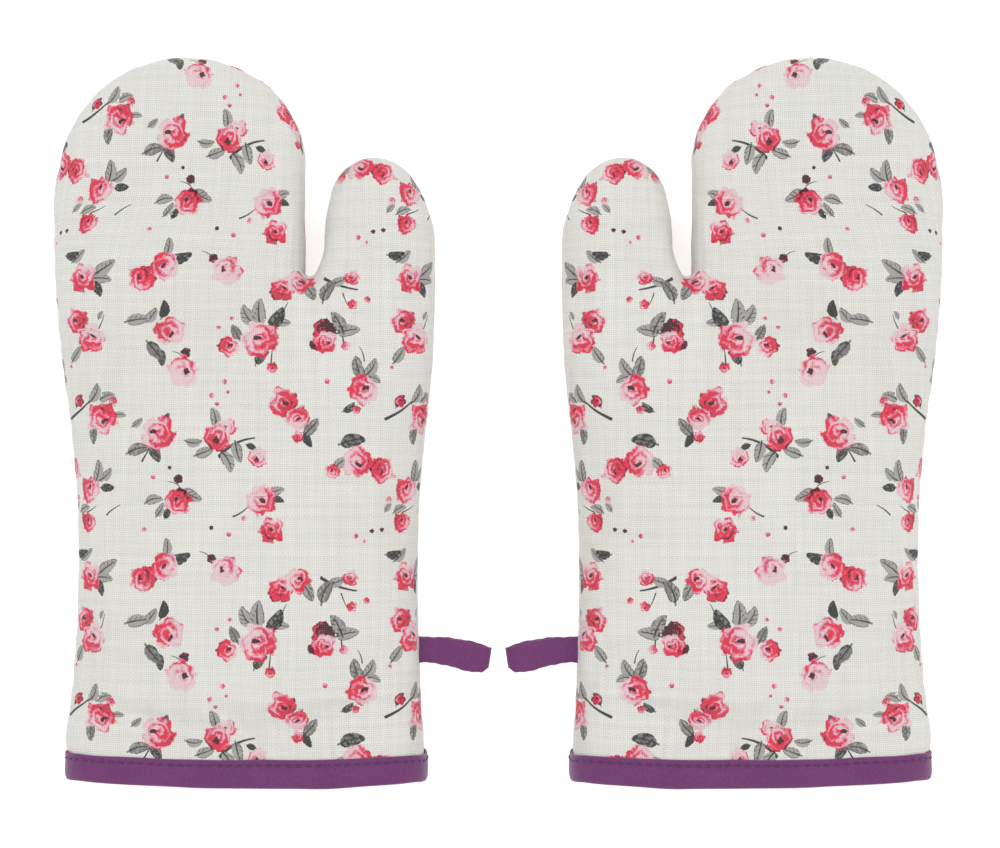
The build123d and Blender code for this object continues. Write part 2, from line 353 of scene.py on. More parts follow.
def rose_ink(nodes, name, inks):
    """Painted roses: colour and cover, from each rose's own place on the cloth. 1 is the rose's radius."""
    x, y, code = nodes.attribute(name)
    tone = code.floor() / 20
    seed = code.fract()
    place = nodes.vector(x, y, seed * 37)
    drift = nodes.noise(place, 1.7, 2.0)
    parts = nodes.add("ShaderNodeSeparateXYZ", None, drift.socket("Color"))
    px = x + (parts.value(0) - 0.5) * 0.75
    py = y + (parts.value(1) - 0.5) * 0.75
    radius = (px * px + py * py).sqrt()
    turn = py.atan2(px)
    brush = nodes.noise(nodes.vector(px, py, seed * 11 + 5), 5.5, 3.0, 0.65).value(0)
    lobes = abs((turn * 2.5 + seed * 20).sin()) * 0.15 + abs((turn * 4.5 - seed * 31).sin()) * 0.08
    edge = 0.80 + lobes + (brush - 0.5) * 0.26
    cover = (edge - radius).band(-0.03, 0.05)
    swirl = (radius * 15.0 - turn + (parts.value(2) - 0.5) * 5).sin() * 0.5 + 0.5
    lean = (px * (seed * 6.283).sin() + py * (seed * 6.283 + 1.571).sin()) * 0.35
    depth = swirl * 0.42 + (brush - 0.5) * 1.0 + lean * 1.3 + tone * 0.85 - 0.19
    petals = nodes.mix(depth.band(0.10, 0.22), inks["blush_wash"], inks["blush"])
    petals = nodes.mix(depth.band(0.30, 0.38), petals, inks["pink"])
    petals = nodes.mix(depth.band(0.50, 0.57), petals, inks["crimson"])
    petals = nodes.mix(depth.band(0.98, 1.04), petals, inks["maroon"])
    heart_x, heart_y = px + (seed * 51).sin() * 0.2, py + (seed * 77).sin() * 0.16
    heart = (heart_x * heart_x + heart_y * heart_y * 1.8).sqrt() + (brush - 0.5) * 0.26
    petals = nodes.mix((0.20 - heart).band(-0.02, 0.03), petals, inks["maroon"])
    ragged = (brush + (1 - radius) * 0.8 + tone * 0.5).band(0.28, 0.36)
    return petals, cover * ragged


def leaf_ink(nodes, name, inks):
    """Painted leaves and stems. x runs along the leaf from -1 to 1; a stem is a leaf with a tone over 1."""
    x, y, code = nodes.attribute(name)
    tone = code.floor() / 20
    seed = code.fract()
    stem = tone > 1.05
    brush = nodes.noise(nodes.vector(x, y, seed * 23), 3.4, 3.0, 0.6).value(0)
    bend = (1 - x * x) * (seed - 0.5) * 0.5
    side = y + bend + (brush - 0.5) * 0.10
    taper = (1 - x * x).highest(0.0).sqrt()
    width = taper * (0.55 - x * 0.14) + (brush - 0.5) * 0.22
    blade = (width - abs(side)).band(0.0, 0.05) * (x * x < 1.0)
    rib = (0.06 - x * 0.03 - abs(side)).band(-0.02, 0.02) * (x < 0.75) * (x > -1.25)
    vein = (0.13 - abs(((x - abs(side) * 0.9) * 2.3 + seed).fract() - 0.5)).band(0.0, 0.04) * (brush > 0.47)
    rim = (abs(side) - width + 0.11).band(0.0, 0.03) * (side * (seed - 0.5) > 0.0)
    strokes = rib.highest(vein * (side > 0.0)).highest(rim * (brush > 0.44))
    shade = tone * 1.25 + (brush - 0.5) * 1.1 - 0.28
    green = nodes.mix(shade.band(0.42, 0.55), inks["pale_leaf"], inks["mid_leaf"])
    green = nodes.mix(shade.band(0.72, 0.82), green, inks["dark_leaf"])
    green = nodes.mix(strokes * 0.92, green, inks["dark_leaf"])
    line = (0.075 - x * 0.025 - abs(y + bend * 1.6)).band(-0.01, 0.03) * (x * x < 1.0)
    cover = blade.highest(rib * 0.8) * (1 - stem) + line * stem
    green = nodes.mix(stem, green, inks["dark_leaf"])
    return green, cover


# ---------------------------------------------------------------------------------------------------------
# The print: one repeat of flowers, leaves and stems, in millimetres across and down from its corner
# ---------------------------------------------------------------------------------------------------------

def smooth(low, high, value):
    """0 below low, 1 above high and a soft curve between them."""
    t = np.clip((value - low) / (high - low), 0, 1)
    return t * t * (3 - 2 * t)


REPEAT = (143.0, 132.0)

# across, down, radius, tone from 0 for blush to 1 for maroon
ROSES = (
    (35.5, 35.5, 6.6, 0.55), (59, 42, 7.0, 0.45), (83.3, 43.7, 5.6, 0.62), (27.8, 66.8, 5.4, 0.5),
    (66.2, 71.5, 5.6, 0.72), (100.5, 71, 6.2, 0.34), (20.3, 104.6, 5.8, 0.5), (56.1, 99.9, 5.8, 0.42),
    (82.7, 101.7, 6.2, 0.12), (114, 105.8, 5.2, 0.42), (23, 131.8, 6.3, 0.36), (58.5, 128.8, 6.3, 0.42),
    (64.4, 147.2, 6.4, 0.1), (97.5, 132.4, 7.6, 0.4), (125.9, 133.6, 4.8, 0.5), (142.4, 154.8, 6.3, 0.44),
    (114.1, 167.3, 5.0, 0.42), (140.3, 186.2, 6.2, 0.46), (137.1, 104.6, 3.2, 0.5),
)
FLOWERS = (
    (40.2, 28, 2.0, 0.55), (87.3, 39.5, 3.8, 0.1), (99.6, 52.4, 4.0, 0.2), (22.5, 81, 4.1, 0.7),
    (18.7, 71, 1.6, 0.25), (67.1, 62, 1.9, 1.7), (104, 83.9, 5.1, 0.68), (93, 79, 1.2, 0.25),
    (46.1, 105.2, 5.4, 0.72), (77, 96.3, 1.9, 1.7), (107, 109.9, 5.2, 0.72), (137.7, 117, 2.1, 0.7),
    (144.2, 114.6, 1.4, 0.65), (17.1, 123.5, 5.2, 0.7), (65.4, 138.9, 2.0, 1.7), (83.9, 135.9, 4.4, 0.6),
    (102.8, 145.4, 2.3, 0.68), (125.3, 128.3, 4.6, 1.5), (121.7, 134.8, 2.7, 1.7), (134.8, 135.9, 1.9, 0.4),
    (139.5, 163.7, 1.8, 0.7), (107.6, 160.8, 5.9, 0.72), (114.1, 175.5, 2.3, 0.7), (151, 189.7, 5.2, 0.68),
    (129.3, 190.7, 3.1, 0.5), (24.5, 27.8, 2.3, 0.9),
    (57, 61, 1.0, 0.5), (63.7, 57, 0.8, 1.7), (49.5, 84, 1.0, 0.4), (78.6, 83, 0.9, 1.7),
    (85.8, 85.8, 1.1, 0.6),
    (85.2, 122.7, 0.9, 0.5), (79.4, 127, 1.0, 0.5), (82, 151.5, 1.1, 0.5), (126.6, 151.3, 1.1, 0.6),
    (76.8, 157.5, 1.1, 0.5), (11.6, 84, 0.9, 1.7), (17.4, 58, 0.9, 0.6), (83, 29, 0.9, 0.6),
    (87.5, 24, 0.8, 0.6),
    (12, 144.5, 0.8, 0.6), (139.5, 86.7, 1.0, 0.6), (146.5, 84.5, 0.9, 1.7), (143.5, 89, 0.7, 0.5),
)
# across, down, length, degrees from pointing across, tone from 0 for pale to 1 for slate
LEAVES = (
    (37.5, 26.3, 7, 20, 0.3), (31, 43, 7, -95, 0.65), (43, 34, 4.5, -5, 0.4), (32, 24, 8, 65, 0.35),
    (62, 35.6, 5, 60, 0.85), (51, 49.4, 8.5, 15, 0.65), (81.6, 34.8, 7.5, 100, 0.5),
    (78, 50.2, 7.5, 20, 0.4),
    (87, 54.6, 8.5, -65, 0.35), (32, 58.2, 8.5, 85, 0.35), (17.7, 73.9, 4.5, 50, 0.35),
    (56.3, 71.5, 7, 10, 0.4),
    (72.4, 69, 8.5, -25, 0.4), (106.8, 67.6, 7, 25, 0.4), (14.6, 94.4, 6.5, 10, 0.9),
    (30.4, 100.2, 9, 35, 0.4),
    (26.2, 109.7, 7, -58, 0.9), (57.7, 91.2, 6.8, 90, 0.45), (118.5, 110.4, 8.5, -60, 0.6),
    (127, 110.5, 9.5, 62, 0.65), (15.1, 138.6, 7.5, 60, 0.45), (45, 123.5, 9, 8, 0.4),
    (55.5, 118.3, 7, 82, 0.95),
    (52, 138, 9, -50, 0.75), (97.5, 120.2, 10.5, 90, 0.45), (104.4, 122.6, 9.5, 55, 0.85),
    (86.9, 129, 7, 115, 0.7),
    (98.5, 141, 7, 45, 0.85), (131.2, 124.8, 9, 120, 0.6), (140.4, 145, 9, 105, 0.65),
    (147.4, 150.1, 6, -20, 0.4),
    (120, 171, 8, 50, 0.65), (138.3, 177.5, 10, 10, 0.85), (136.2, 162.5, 5.5, 40, 0.85),
)
SMALL_LEAVES = (
    (24.3, 27.5, 6, 50, 0.85), (50.2, 37.3, 5, 40, 0.5), (57.6, 51, 7.5, -60, 0.85),
    (73.6, 45.5, 6.5, 0, 0.35),
    (91.4, 50.4, 8, -75, 0.3), (97, 48.2, 4.5, -30, 0.95), (36.4, 60, 7.5, 40, 0.35),
    (37.4, 65.7, 6, 0, 0.9),
    (23, 75.3, 6, 20, 0.4), (58, 75.2, 6, 60, 0.4), (61, 76.6, 5, 60, 0.95), (107.4, 71.3, 5, -10, 0.9),
    (17.9, 95.2, 7, 40, 0.4), (28.8, 105.4, 7.5, -5, 0.4), (63.6, 95.5, 8, 15, 0.9),
    (131.5, 106.2, 7, 20, 0.4),
    (28, 121, 3.5, 60, 0.4), (50.2, 121.2, 7.5, 50, 0.4), (54.6, 141.2, 6.5, -80, 0.85),
    (92.4, 121.3, 9, 120, 0.4),
    (107.6, 124.9, 6, -10, 0.4), (136.2, 128.8, 9, 10, 0.4), (145.8, 144.6, 8, 60, 0.45),
    (118.4, 177, 6, -60, 0.95), (133, 187, 7, 40, 0.4),
)
STEMS = (
    (24, 31.5, 16, 32, 0.6), (54.4, 50.6, 9, 60, 0.5), (91, 48.2, 18, 28, 0.25), (27, 75.2, 7, 25, 0.6),
    (65, 64, 5.5, 160, 0.7), (92, 75.6, 9, 35, 0.7), (74.5, 94.8, 6, 150, 0.8), (132, 107.3, 17, -20, 0.65),
    (134, 113, 8, -70, 0.6), (28.4, 124, 7, 70, 0.6), (62, 140, 6, 150, 0.8), (102.5, 140.4, 7.5, 85, 0.5),
    (133, 131, 9, 100, 0.6), (141.8, 139.2, 7, 110, 0.7), (108, 119, 7, 65, 0.5), (38, 75.5, 8, 35, 0.4),
)


def drift(across, down):
    """How far out the print was drawn by the stretched cloth of the fingertips, in millimetres."""
    return np.clip(8 - 0.072 * (across - 27.5), 0, 8.5) * (1 - smooth(60, 104, down))


def print_marks(marks, stems=()):
    """Places, radii, angles and codes of the print's marks, as arrays."""
    rows = []
    for i, mark in enumerate(marks):
        across, down, size = mark[:3]
        across -= drift(across, down)
        angle = math.radians(mark[3]) if len(mark) == 5 else 2.4 * i
        radius = size * 0.56 if len(mark) == 5 else size * 1.12
        rows.append((across, down, radius, angle, round(20 * mark[-1]) + (0.09 + 0.618 * i) % 0.98))
    for i, (across, down, size, degrees, bend) in enumerate(stems):
        across -= drift(across, down)
        rows.append((across, down, size / 2, math.radians(degrees), 24 + bend * 0.98))
    return np.array(rows)


PRINT = {
    "rose": print_marks(ROSES),
    "flower": print_marks(FLOWERS),
    "leaf": print_marks(LEAVES),
    "small_leaf": print_marks(SMALL_LEAVES),
    "stem": print_marks((), STEMS),
}


def lay_print(mesh, flat, loop_face):
    """Stores, for each kind of mark, where each face's corners lie on the mark that covers the face.

    flat holds the corners' places on the cloth in millimetres and loop_face each corner's face.
    """
    faces = loop_face.max() + 1
    counts = np.bincount(loop_face, minlength=faces)
    middle = np.stack([np.bincount(loop_face, flat[:, k], faces) / counts for k in (0, 1)], 1)
    for name, marks in PRINT.items():
        reach = {"rose": 1.35, "flower": 1.35, "stem": 1.15}.get(name, 1.5)
        best = np.full(faces, reach + 1.6 / marks[:, 2].min())
        chosen = np.zeros(faces, int)
        shift = np.zeros((faces, 2))
        for i, (across, down, radius, _, _) in enumerate(marks):
            delta = middle - (across, down)
            wrap = np.round(delta / REPEAT) * REPEAT
            distance = np.hypot(*(delta - wrap).T)
            nearer = (distance < radius * reach + 1.8) & (distance / radius < best)
            best[nearer] = distance[nearer] / radius
            chosen[nearer] = i + 1
            shift[nearer] = wrap[nearer]
        held = np.full((len(flat), 3), (9.0, 9.0, 0.0))
        of_loop = chosen[loop_face]
        inked = of_loop > 0
        mark = marks[of_loop[inked] - 1]
        place = flat[inked] - shift[loop_face][inked] - mark[:, :2]
        place[:, 1] *= -1
        cos, sin = np.cos(mark[:, 3]), np.sin(mark[:, 3])
        held[inked, 0] = (place[:, 0] * cos + place[:, 1] * sin) / mark[:, 2]
        held[inked, 1] = (-place[:, 0] * sin + place[:, 1] * cos) / mark[:, 2]
        held[inked, 2] = mark[:, 4]
        store(mesh, name, held)


def store(mesh, name, values):
    """Keeps three numbers for each corner of the mesh."""
    layer = mesh.attributes.new(name, "FLOAT_VECTOR", "CORNER")
    layer.data.foreach_set("vector", np.asarray(values, np.float32).ravel())


# ---------------------------------------------------------------------------------------------------------
# The sewing outline and the puffed form, in millimetres
# ---------------------------------------------------------------------------------------------------------


class Sizes:
    """Property groups' sizes as plain numbers, lengths in millimetres."""

    def __init__(self, *groups):
        for group in groups:
            for item in group.bl_rna.properties:
                if item.identifier in ("rna_type", "name"):
                    continue
                value = getattr(group, item.identifier)
                setattr(self, item.identifier, value / MM if item.unit == "LENGTH" else value)

    def wall(self):
        """The thickness of all three layers."""
        return self.shell_cloth + self.wadding_pad + self.lining_cloth


HEM = 17  # how far up the sides hang straight above the cuff's edge
SOLE_LIFT = 1.2  # how high the tape holds the sole off the table
BOUND = 13  # how far up from the cuff's edge the tape reaches
TIP_ROUND = 17  # how far short of the fingertips the sole reaches the table
FRONT_CORNER = (202.2, 167.4)  # the front's print starts this far left of and above the pair's middle
BACK_CORNER = (40, 120)  # and the back's this far right of and above it
RINGS = (0.0, 1.1, 2.8, 5.2, 8.4, 12.4)  # depths of the panel's edge rings, in from the seam


def arc(centre, start, end, step=4.2):
    """Points along the short arc from start to end, without end."""
    first = math.atan2(start[1] - centre[1], start[0] - centre[0])
    last = math.atan2(end[1] - centre[1], end[0] - centre[0])
    turn = (last - first + math.pi) % (2 * math.pi) - math.pi
    radius = math.dist(start, centre)
    count = max(2, round(abs(turn) * radius / step), round(abs(turn) / math.radians(11)))
    angles = first + turn * np.arange(count) / count
    return [(centre[0] + radius * math.cos(a), centre[1] + radius * math.sin(a)) for a in angles]


def straight(start, end, step=4.2):
    """Points along a straight run, without its end."""
    count = max(1, round(math.dist(start, end) / step))
    return [tuple(start[k] + (end[k] - start[k]) * i / count for k in (0, 1)) for i in range(count)]


def crown(side, top, radius):
    """The flank's and the crown's arcs from an upright side to the top of a dome, and where they meet."""
    across, up = abs(top[0] - side[0]), top[1] - side[1]
    inward = 1 if top[0] > side[0] else -1
    flank = (across**2 + up**2 - 2 * up * radius) / (2 * (across - radius))
    flank_centre = np.array((side[0] + inward * flank, side[1]))
    crown_centre = np.array((top[0], top[1] - radius))
    away = (crown_centre - flank_centre) * (-1 if flank < radius else 1)
    meet = tuple(flank_centre + flank * away / np.hypot(*away))
    return tuple(flank_centre), meet, tuple(crown_centre)


def side_curve(low, high, step=4.2):
    """Two equal arcs between two upright places of a side, from the lower one up."""
    radius = math.dist(low, high) ** 2 / (4 * abs(high[0] - low[0]))
    toward = radius if high[0] > low[0] else -radius
    half = ((low[0] + high[0]) / 2, (low[1] + high[1]) / 2)
    lower = arc((low[0] + toward, low[1]), low, half, step)
    return lower + arc((high[0] - toward, high[1]), half, high, step)


class Outline:
    """The left mitt's outline at the side seam, from the cuff's outer side round to its thumb side."""

    def __init__(self, s):
        self.s = s
        self.cuff_y, tip_y = -s.mitt_length / 2, s.mitt_length / 2
        self.thumb_x = -s.half_spacing
        self.little_x = self.thumb_x - s.mitt_width
        self.middle_x = (self.thumb_x + self.little_x) / 2
        self.crotch_y = tip_y - s.finger_length
        index_x = self.little_x + s.finger_width
        self.notch_x = index_x + s.crotch_width / 2
        thumb_tip = self.crotch_y + s.thumb_length
        self.waist_y = self.cuff_y + s.waist_height
        waist_x = self.middle_x + s.waist_lean
        self.waists = (waist_x - s.waist_width / 2, waist_x + s.waist_width / 2)
        self.cuffs = (self.middle_x - s.cuff_width / 2, self.middle_x + s.cuff_width / 2)
        little = (self.little_x, tip_y - s.little_side_spring)
        top = (self.little_x + s.finger_crown_place, tip_y)
        index = (index_x, tip_y - s.index_side_spring)
        inner = (index_x + s.crotch_width, thumb_tip - s.thumb_inner_spring)
        thumb_top = (self.thumb_x - s.thumb_crown_place, thumb_tip)
        outer = (self.thumb_x, thumb_tip - s.thumb_outer_spring)
        root = (self.thumb_x, thumb_tip - s.thumb_root_height)
        waist_little, waist_thumb = (self.waists[0], self.waist_y), (self.waists[1], self.waist_y)
        points = [(self.side_x(0, y), y) for y in np.linspace(self.cuff_y, self.waist_y, 24)[:-1]]
        points += side_curve(waist_little, little)
        points += self.dome(little, top, s.finger_crown, True)
        points += self.dome(index, top, s.finger_crown, False)
        # The notch is narrow where the panels meet, and the thumb leans away from the fingers above it
        tight = 0.56 * s.crotch_width / 2
        centre = (index_x + tight, self.crotch_y + tight)
        start, bottom = (index_x, centre[1]), (centre[0], self.crotch_y)
        lean = math.radians(34)
        low = (centre[0] + tight * math.cos(lean), centre[1] - tight * math.sin(lean))
        bow = math.dist(low, inner) ** 2 / (2 * (inner[0] - low[0]))
        points += straight(index, start) + arc(centre, start, bottom, 1.0) + arc(centre, bottom, low, 1.0)
        points += arc((inner[0] - bow, inner[1]), low, inner, 2.0)
        points += self.dome(inner, thumb_top, s.thumb_crown, True)
        points += self.dome(outer, thumb_top, s.thumb_crown, False)
        points += straight(outer, root) + [root]
        points += side_curve(waist_thumb, root)[:0:-1]
        points += [(self.side_x(1, y), y) for y in np.linspace(self.waist_y, self.cuff_y, 24)]
        self.points = np.array(points)
        ahead = np.gradient(self.points, axis=0)
        ahead /= np.hypot(*ahead.T)[:, None]
        self.inward = np.stack([ahead[:, 1], -ahead[:, 0]], 1)
        self.inward[0], self.inward[-1] = (1, 0), (-1, 0)
        self.sole_slope = -SOLE_LIFT / (s.mitt_length - (BOUND + TIP_ROUND))
        self.top_slope = (s.tip_thickness - s.cuff_thickness) / s.mitt_length + self.sole_slope

    @staticmethod
    def dome(side, peak, radius, upward):
        """The points of a quarter of a dome, from its side up or from its top down."""
        flank_centre, meet, crown_centre = crown(side, peak, radius)
        if upward:
            return arc(flank_centre, side, meet) + arc(crown_centre, meet, peak)
        return arc(crown_centre, peak, meet) + arc(flank_centre, meet, side)

    def side_x(self, side, y):
        """Where the side seam runs below the waist: side 0 is the little finger's, 1 the thumb's."""
        spread = self.cuffs[side] - self.waists[side]
        radius = (spread**2 + self.s.waist_height**2) / (2 * abs(spread))
        depth = self.waist_y - np.maximum(y, self.cuff_y + HEM)
        flare = self.waists[side] + np.copysign(radius - np.sqrt(radius**2 - depth**2), spread)
        drawn_in = 0.9 * smooth(HEM, 10, y - self.cuff_y)
        return flare + (drawn_in if side == 0 else 0.8 * drawn_in)

    def sole_z(self, y):
        return SOLE_LIFT + (y - self.cuff_y - BOUND) * self.sole_slope

    def top_z(self, y):
        return self.sole_z(self.cuff_y) + self.s.cuff_thickness + (y - self.cuff_y) * self.top_slope

    def rise(self, distance):
        """How much of the full height the cloth has reached at a distance in from the seam, 0 to 1."""
        share_ = np.clip(distance / self.s.edge_round, 0, 1)
        return (1 - (1 - share_) ** self.s.edge_power) ** (1 / self.s.edge_power)

    def slack(self, distance):
        """How much more cloth than floor there is between a place and the flat top, in millimetres."""
        steps = np.linspace(0, 1, 801) ** 2 * self.s.edge_round
        heights = self.rise(steps) * 0.46 * self.s.cuff_thickness
        run = np.hypot(np.diff(steps), np.diff(heights)) - np.diff(steps)
        left = np.append(np.cumsum(run[::-1])[::-1], 0)
        return np.interp(distance, steps, left)


# Soft creases of the top panel: from x, y to x, y, then depth and half width
CREASES = (
    (-85, 66, -70, 36, 1.5, 2.8),
    (-79, 62, -60, 44, 0.8, 2.8),
    (-70, 66, -52, 52, 0.35, 3.5),
    (-44, 44, -33, 20, 0.4, 3.5),
    (-52, -118, -46, -146, 0.55, 4.0),
    (-66, -124, -63, -148, 0.4, 4.5),
    (-176, -112, -181, -146, 0.45, 4.0),
    (-96, 60, -110, 52, 0.3, 4.0),
)


def creased(x, y):
    """How far the creases lower or raise the cloth."""
    total = np.zeros_like(x)
    for x0, y0, x1, y1, depth, width in CREASES:
        run = np.array((x1 - x0, y1 - y0), float)
        size = np.hypot(*run)
        along = ((x - x0) * run[0] + (y - y0) * run[1]) / size**2
        off = ((x - x0) * -run[1] + (y - y0) * run[0]) / size + 1.5 * np.sin(along * 3)
        fade = np.exp(-((np.clip(np.abs(along - 0.45) - 0.3, 0, None) / 0.28) ** 2))
        valley = np.exp(-((off / width) ** 2))
        ridge = np.exp(-(((np.abs(off) - 2.1 * width) / (1.1 * width)) ** 2))
        total += fade * depth * (0.45 * ridge - valley)
    return total


def panel_plan(outline):
    """One panel as seen from above: places, distances in from the seam, directions from it and faces."""
    edge, inward = outline.points, outline.inward
    count = len(edge)
    places = [edge + inward * depth for depth in RINGS]
    distances = [np.full(count, depth) for depth in RINGS]
    directions = [inward] * len(RINGS)
    faces = []
    for ring in range(len(RINGS) - 1):
        low, high = ring * count, (ring + 1) * count
        faces += [(low + i, low + i + 1, high + i + 1, high + i) for i in range(count - 1)]
    inner = places[-1]
    step = outline.s.cloth_step
    hem = np.array(straight(inner[-1], inner[0], step)[1:])
    fence = np.vstack([inner, hem])
    xs = np.arange(outline.little_x, outline.thumb_x, step)
    ys = np.arange(outline.cuff_y, -outline.cuff_y, step)
    grid = np.array([(x, y) for y in ys for x in xs])
    away, _ = from_edge(grid, edge)
    close = np.min(np.hypot(*(grid[:, None] - fence[None]).transpose(2, 0, 1)), 1)
    keep = within(grid, fence) & (close > step * 0.55) & (away > RINGS[-1])
    loose = grid[keep]
    cloud = np.vstack([fence, loose])
    loop = list(range(len(fence)))
    found, _, cut, origin, _, _ = geometry.delaunay_2d_cdt([Vector(p) for p in cloud], [], [loop], 1, 1e-4)
    source = [o[0] if o else -1 for o in origin]
    if len(found) != len(cloud) or min(source) < 0:
        raise RuntimeError("the panel's mesh lost or gained a point")
    base = (len(RINGS) - 1) * count

    def index(i):
        """A cloud point's place in the whole panel: the fence begins with the innermost ring."""
        return base + source[i]

    faces += [tuple(index(i) for i in face[::-1]) for face in cut]
    extra = np.vstack([hem, loose])
    away, nearest = from_edge(extra, edge)
    lean = extra - nearest
    lean /= np.maximum(np.hypot(*lean.T), 1e-6)[:, None]
    places = np.vstack([*places, extra])
    distances = np.concatenate([*distances, away])
    directions = np.vstack([*directions, lean])
    return places, distances, directions, faces


def from_edge(points, edge):
    """Each point's distance from an open line, and the nearest place on it."""
    start, run = edge[:-1], np.diff(edge, axis=0)
    size = (run**2).sum(1)
    best = np.full(len(points), 1e9)
    place = np.zeros_like(points)
    for a, r, q in zip(start, run, size):
        t = np.clip(((points - a) @ r) / q, 0, 1)
        spot = a + t[:, None] * r
        away = np.hypot(*(points - spot).T)
        nearer = away < best
        best[nearer] = away[nearer]
        place[nearer] = spot[nearer]
    return best, place


def within(points, fence):
    """Which points lie inside a closed line."""
    inside = np.zeros(len(points), bool)
    for (x0, y0), (x1, y1) in zip(fence, np.roll(fence, -1, axis=0)):
        if y0 == y1:
            continue
        crosses = (points[:, 1] < y0) != (points[:, 1] < y1)
        inside ^= crosses & (points[:, 0] < (x1 - x0) * (points[:, 1] - y0) / (y1 - y0) + x0)
    return inside


def fetched(items, field, width=1, kind=np.float32):
    """One field of all the items, as an array of that many columns."""
    values = np.zeros(len(items) * width, kind)
    items.foreach_get(field, values)
    return values.reshape(-1, width) if width > 1 else values


def placed(name, data):
    """A new object in the scene."""
    made = bpy.data.objects.new(name, data)
    bpy.context.scene.collection.objects.link(made)
    return made


class PuffedMitt:
    """The left mitt's cloth, front and back in one mesh, relaxed and subdivided, with its flat places."""

    def __init__(self, s):
        self.s = s
        self.outline = outline = Outline(s)
        places, distance, direction, faces = panel_plan(outline)
        places[:, 1] = np.maximum(places[:, 1], outline.cuff_y + s.tape_cloth)
        count = len(places)
        seam = distance == 0
        x, y = places.T
        half = (outline.top_z(y) - outline.sole_z(y)) / 2
        middle = (outline.top_z(y) + outline.sole_z(y)) / 2
        rise = outline.rise(distance)
        crowned = 2.6 * smooth(10, 75, distance) * smooth(14, 44, y - outline.cuff_y)
        front = middle + half * rise + crowned
        back = middle - half * rise
        run = np.arange(len(outline.points))
        pucker = 0.18 * np.sin(run * 2.1) + 0.22 * np.sin(run * 0.83 + 1.0) * np.sin(run * 0.21)
        above_tape = smooth(12, 26, y - outline.cuff_y)
        tuck = np.zeros(count)
        tuck[: len(run)] = (0.75 + pucker) * smooth(12, 26, outline.points[:, 1] - outline.cuff_y)
        bulge = 0.85 * np.exp(-distance / 9) * above_tape
        plan = places + direction * (tuck - bulge)[:, None]
        top = np.column_stack([plan, front])
        bottom = np.column_stack([plan, back])
        other = np.arange(count) + count
        other[seam] = np.flatnonzero(seam)
        self.points = np.vstack([top, bottom])
        self.faces = [tuple(face[::-1]) for face in faces]
        self.faces += [tuple(other[i] for i in face) for face in faces]
        self.panels = [0] * len(faces) + [1] * len(faces)
        flat = places - direction * outline.slack(distance)[:, None]
        front_flat = np.column_stack([flat[:, 0] + FRONT_CORNER[0], FRONT_CORNER[1] - flat[:, 1]])
        front_flat[:, 0] -= drift(*front_flat.T)
        back_flat = BACK_CORNER - flat
        used = np.unique([i for face in self.faces for i in face])
        renumber = np.zeros(2 * count, int)
        renumber[used] = np.arange(len(used))
        self.faces = [tuple(int(renumber[i]) for i in face) for face in self.faces]
        self.points = self.points[used]
        self.flat = tuple(np.vstack([place, place])[used] for place in (front_flat, back_flat))
        self.distance = np.concatenate([distance, distance])[used]
        self.relax()
        self.subdivide()
        self.finish_form()

    def mesh(self):
        """The cloth as a Blender mesh in metres, with its flat places as two UV maps."""
        mesh = bpy.data.meshes.new("mitt_cloth")
        mesh.from_pydata((self.points * MM).tolist(), [], self.faces)
        mesh.polygons.foreach_set("material_index", self.panels)
        flat = mesh.uv_layers.new(name="flat")
        edge = mesh.uv_layers.new(name="edge")
        corner = fetched(mesh.loops, "vertex_index", kind=np.int32)
        panel = np.repeat(np.array(self.panels), fetched(mesh.polygons, "loop_total", kind=np.int32))
        place = np.where(panel[:, None] == 0, self.flat[0][corner], self.flat[1][corner])
        flat.data.foreach_set("uv", place.astype(np.float32).ravel())
        reach = np.column_stack([self.distance[corner], panel]).astype(np.float32)
        edge.data.foreach_set("uv", reach.ravel())
        return mesh

    def relax(self):
        """Lets the cloth settle under a little stuffing pressure, held at the cuff and along the seam."""
        mesh = self.mesh()
        cloth = placed("mitt_cloth", mesh)
        above = self.points[:, 1] - self.outline.cuff_y
        hold = np.clip(1 - smooth(16, 40, above), 0, 1)
        hold = np.maximum(hold, 0.55 * np.exp(-((self.distance / 3.0) ** 2)))
        hold = np.maximum(hold, 0.25 * (self.points[:, 2] < self.outline.sole_z(self.points[:, 1]) + 0.4))
        hold = np.maximum(hold, 0.04)
        group = cloth.vertex_groups.new(name="held")
        for i, weight in enumerate(hold):
            group.add([i], float(weight), "REPLACE")
        settings = cloth.modifiers.new("relax", "CLOTH").settings
        settings.quality = 6
        settings.mass = 0.25
        settings.tension_stiffness = 18
        settings.compression_stiffness = 14
        settings.shear_stiffness = 6
        settings.bending_stiffness = 1.2
        settings.tension_damping = settings.compression_damping = settings.shear_damping = 12
        settings.vertex_group_mass = "held"
        settings.pin_stiffness = 1.5
        settings.shrink_min = -0.022
        settings.use_pressure = True
        settings.uniform_pressure_force = 1.6
        settings.effector_weights.gravity = 0
        cloth.modifiers["relax"].collision_settings.use_collision = False
        scene = bpy.context.scene
        for step in range(1, 19):
            scene.frame_set(step)
        settled = cloth.evaluated_get(bpy.context.evaluated_depsgraph_get()).to_mesh()
        found = fetched(settled.vertices, "co", 3)
        scene.frame_set(1)
        bpy.data.objects.remove(cloth)
        bpy.data.meshes.remove(mesh)
        move = found.astype(float) / MM - self.points
        furthest = 4.5
        move *= np.minimum(1, furthest / np.maximum(np.linalg.norm(move, axis=1), 1e-9))[:, None]
        self.points = self.points + move
        self.points[:, 2] = np.maximum(self.points[:, 2], self.outline.sole_z(self.points[:, 1]))

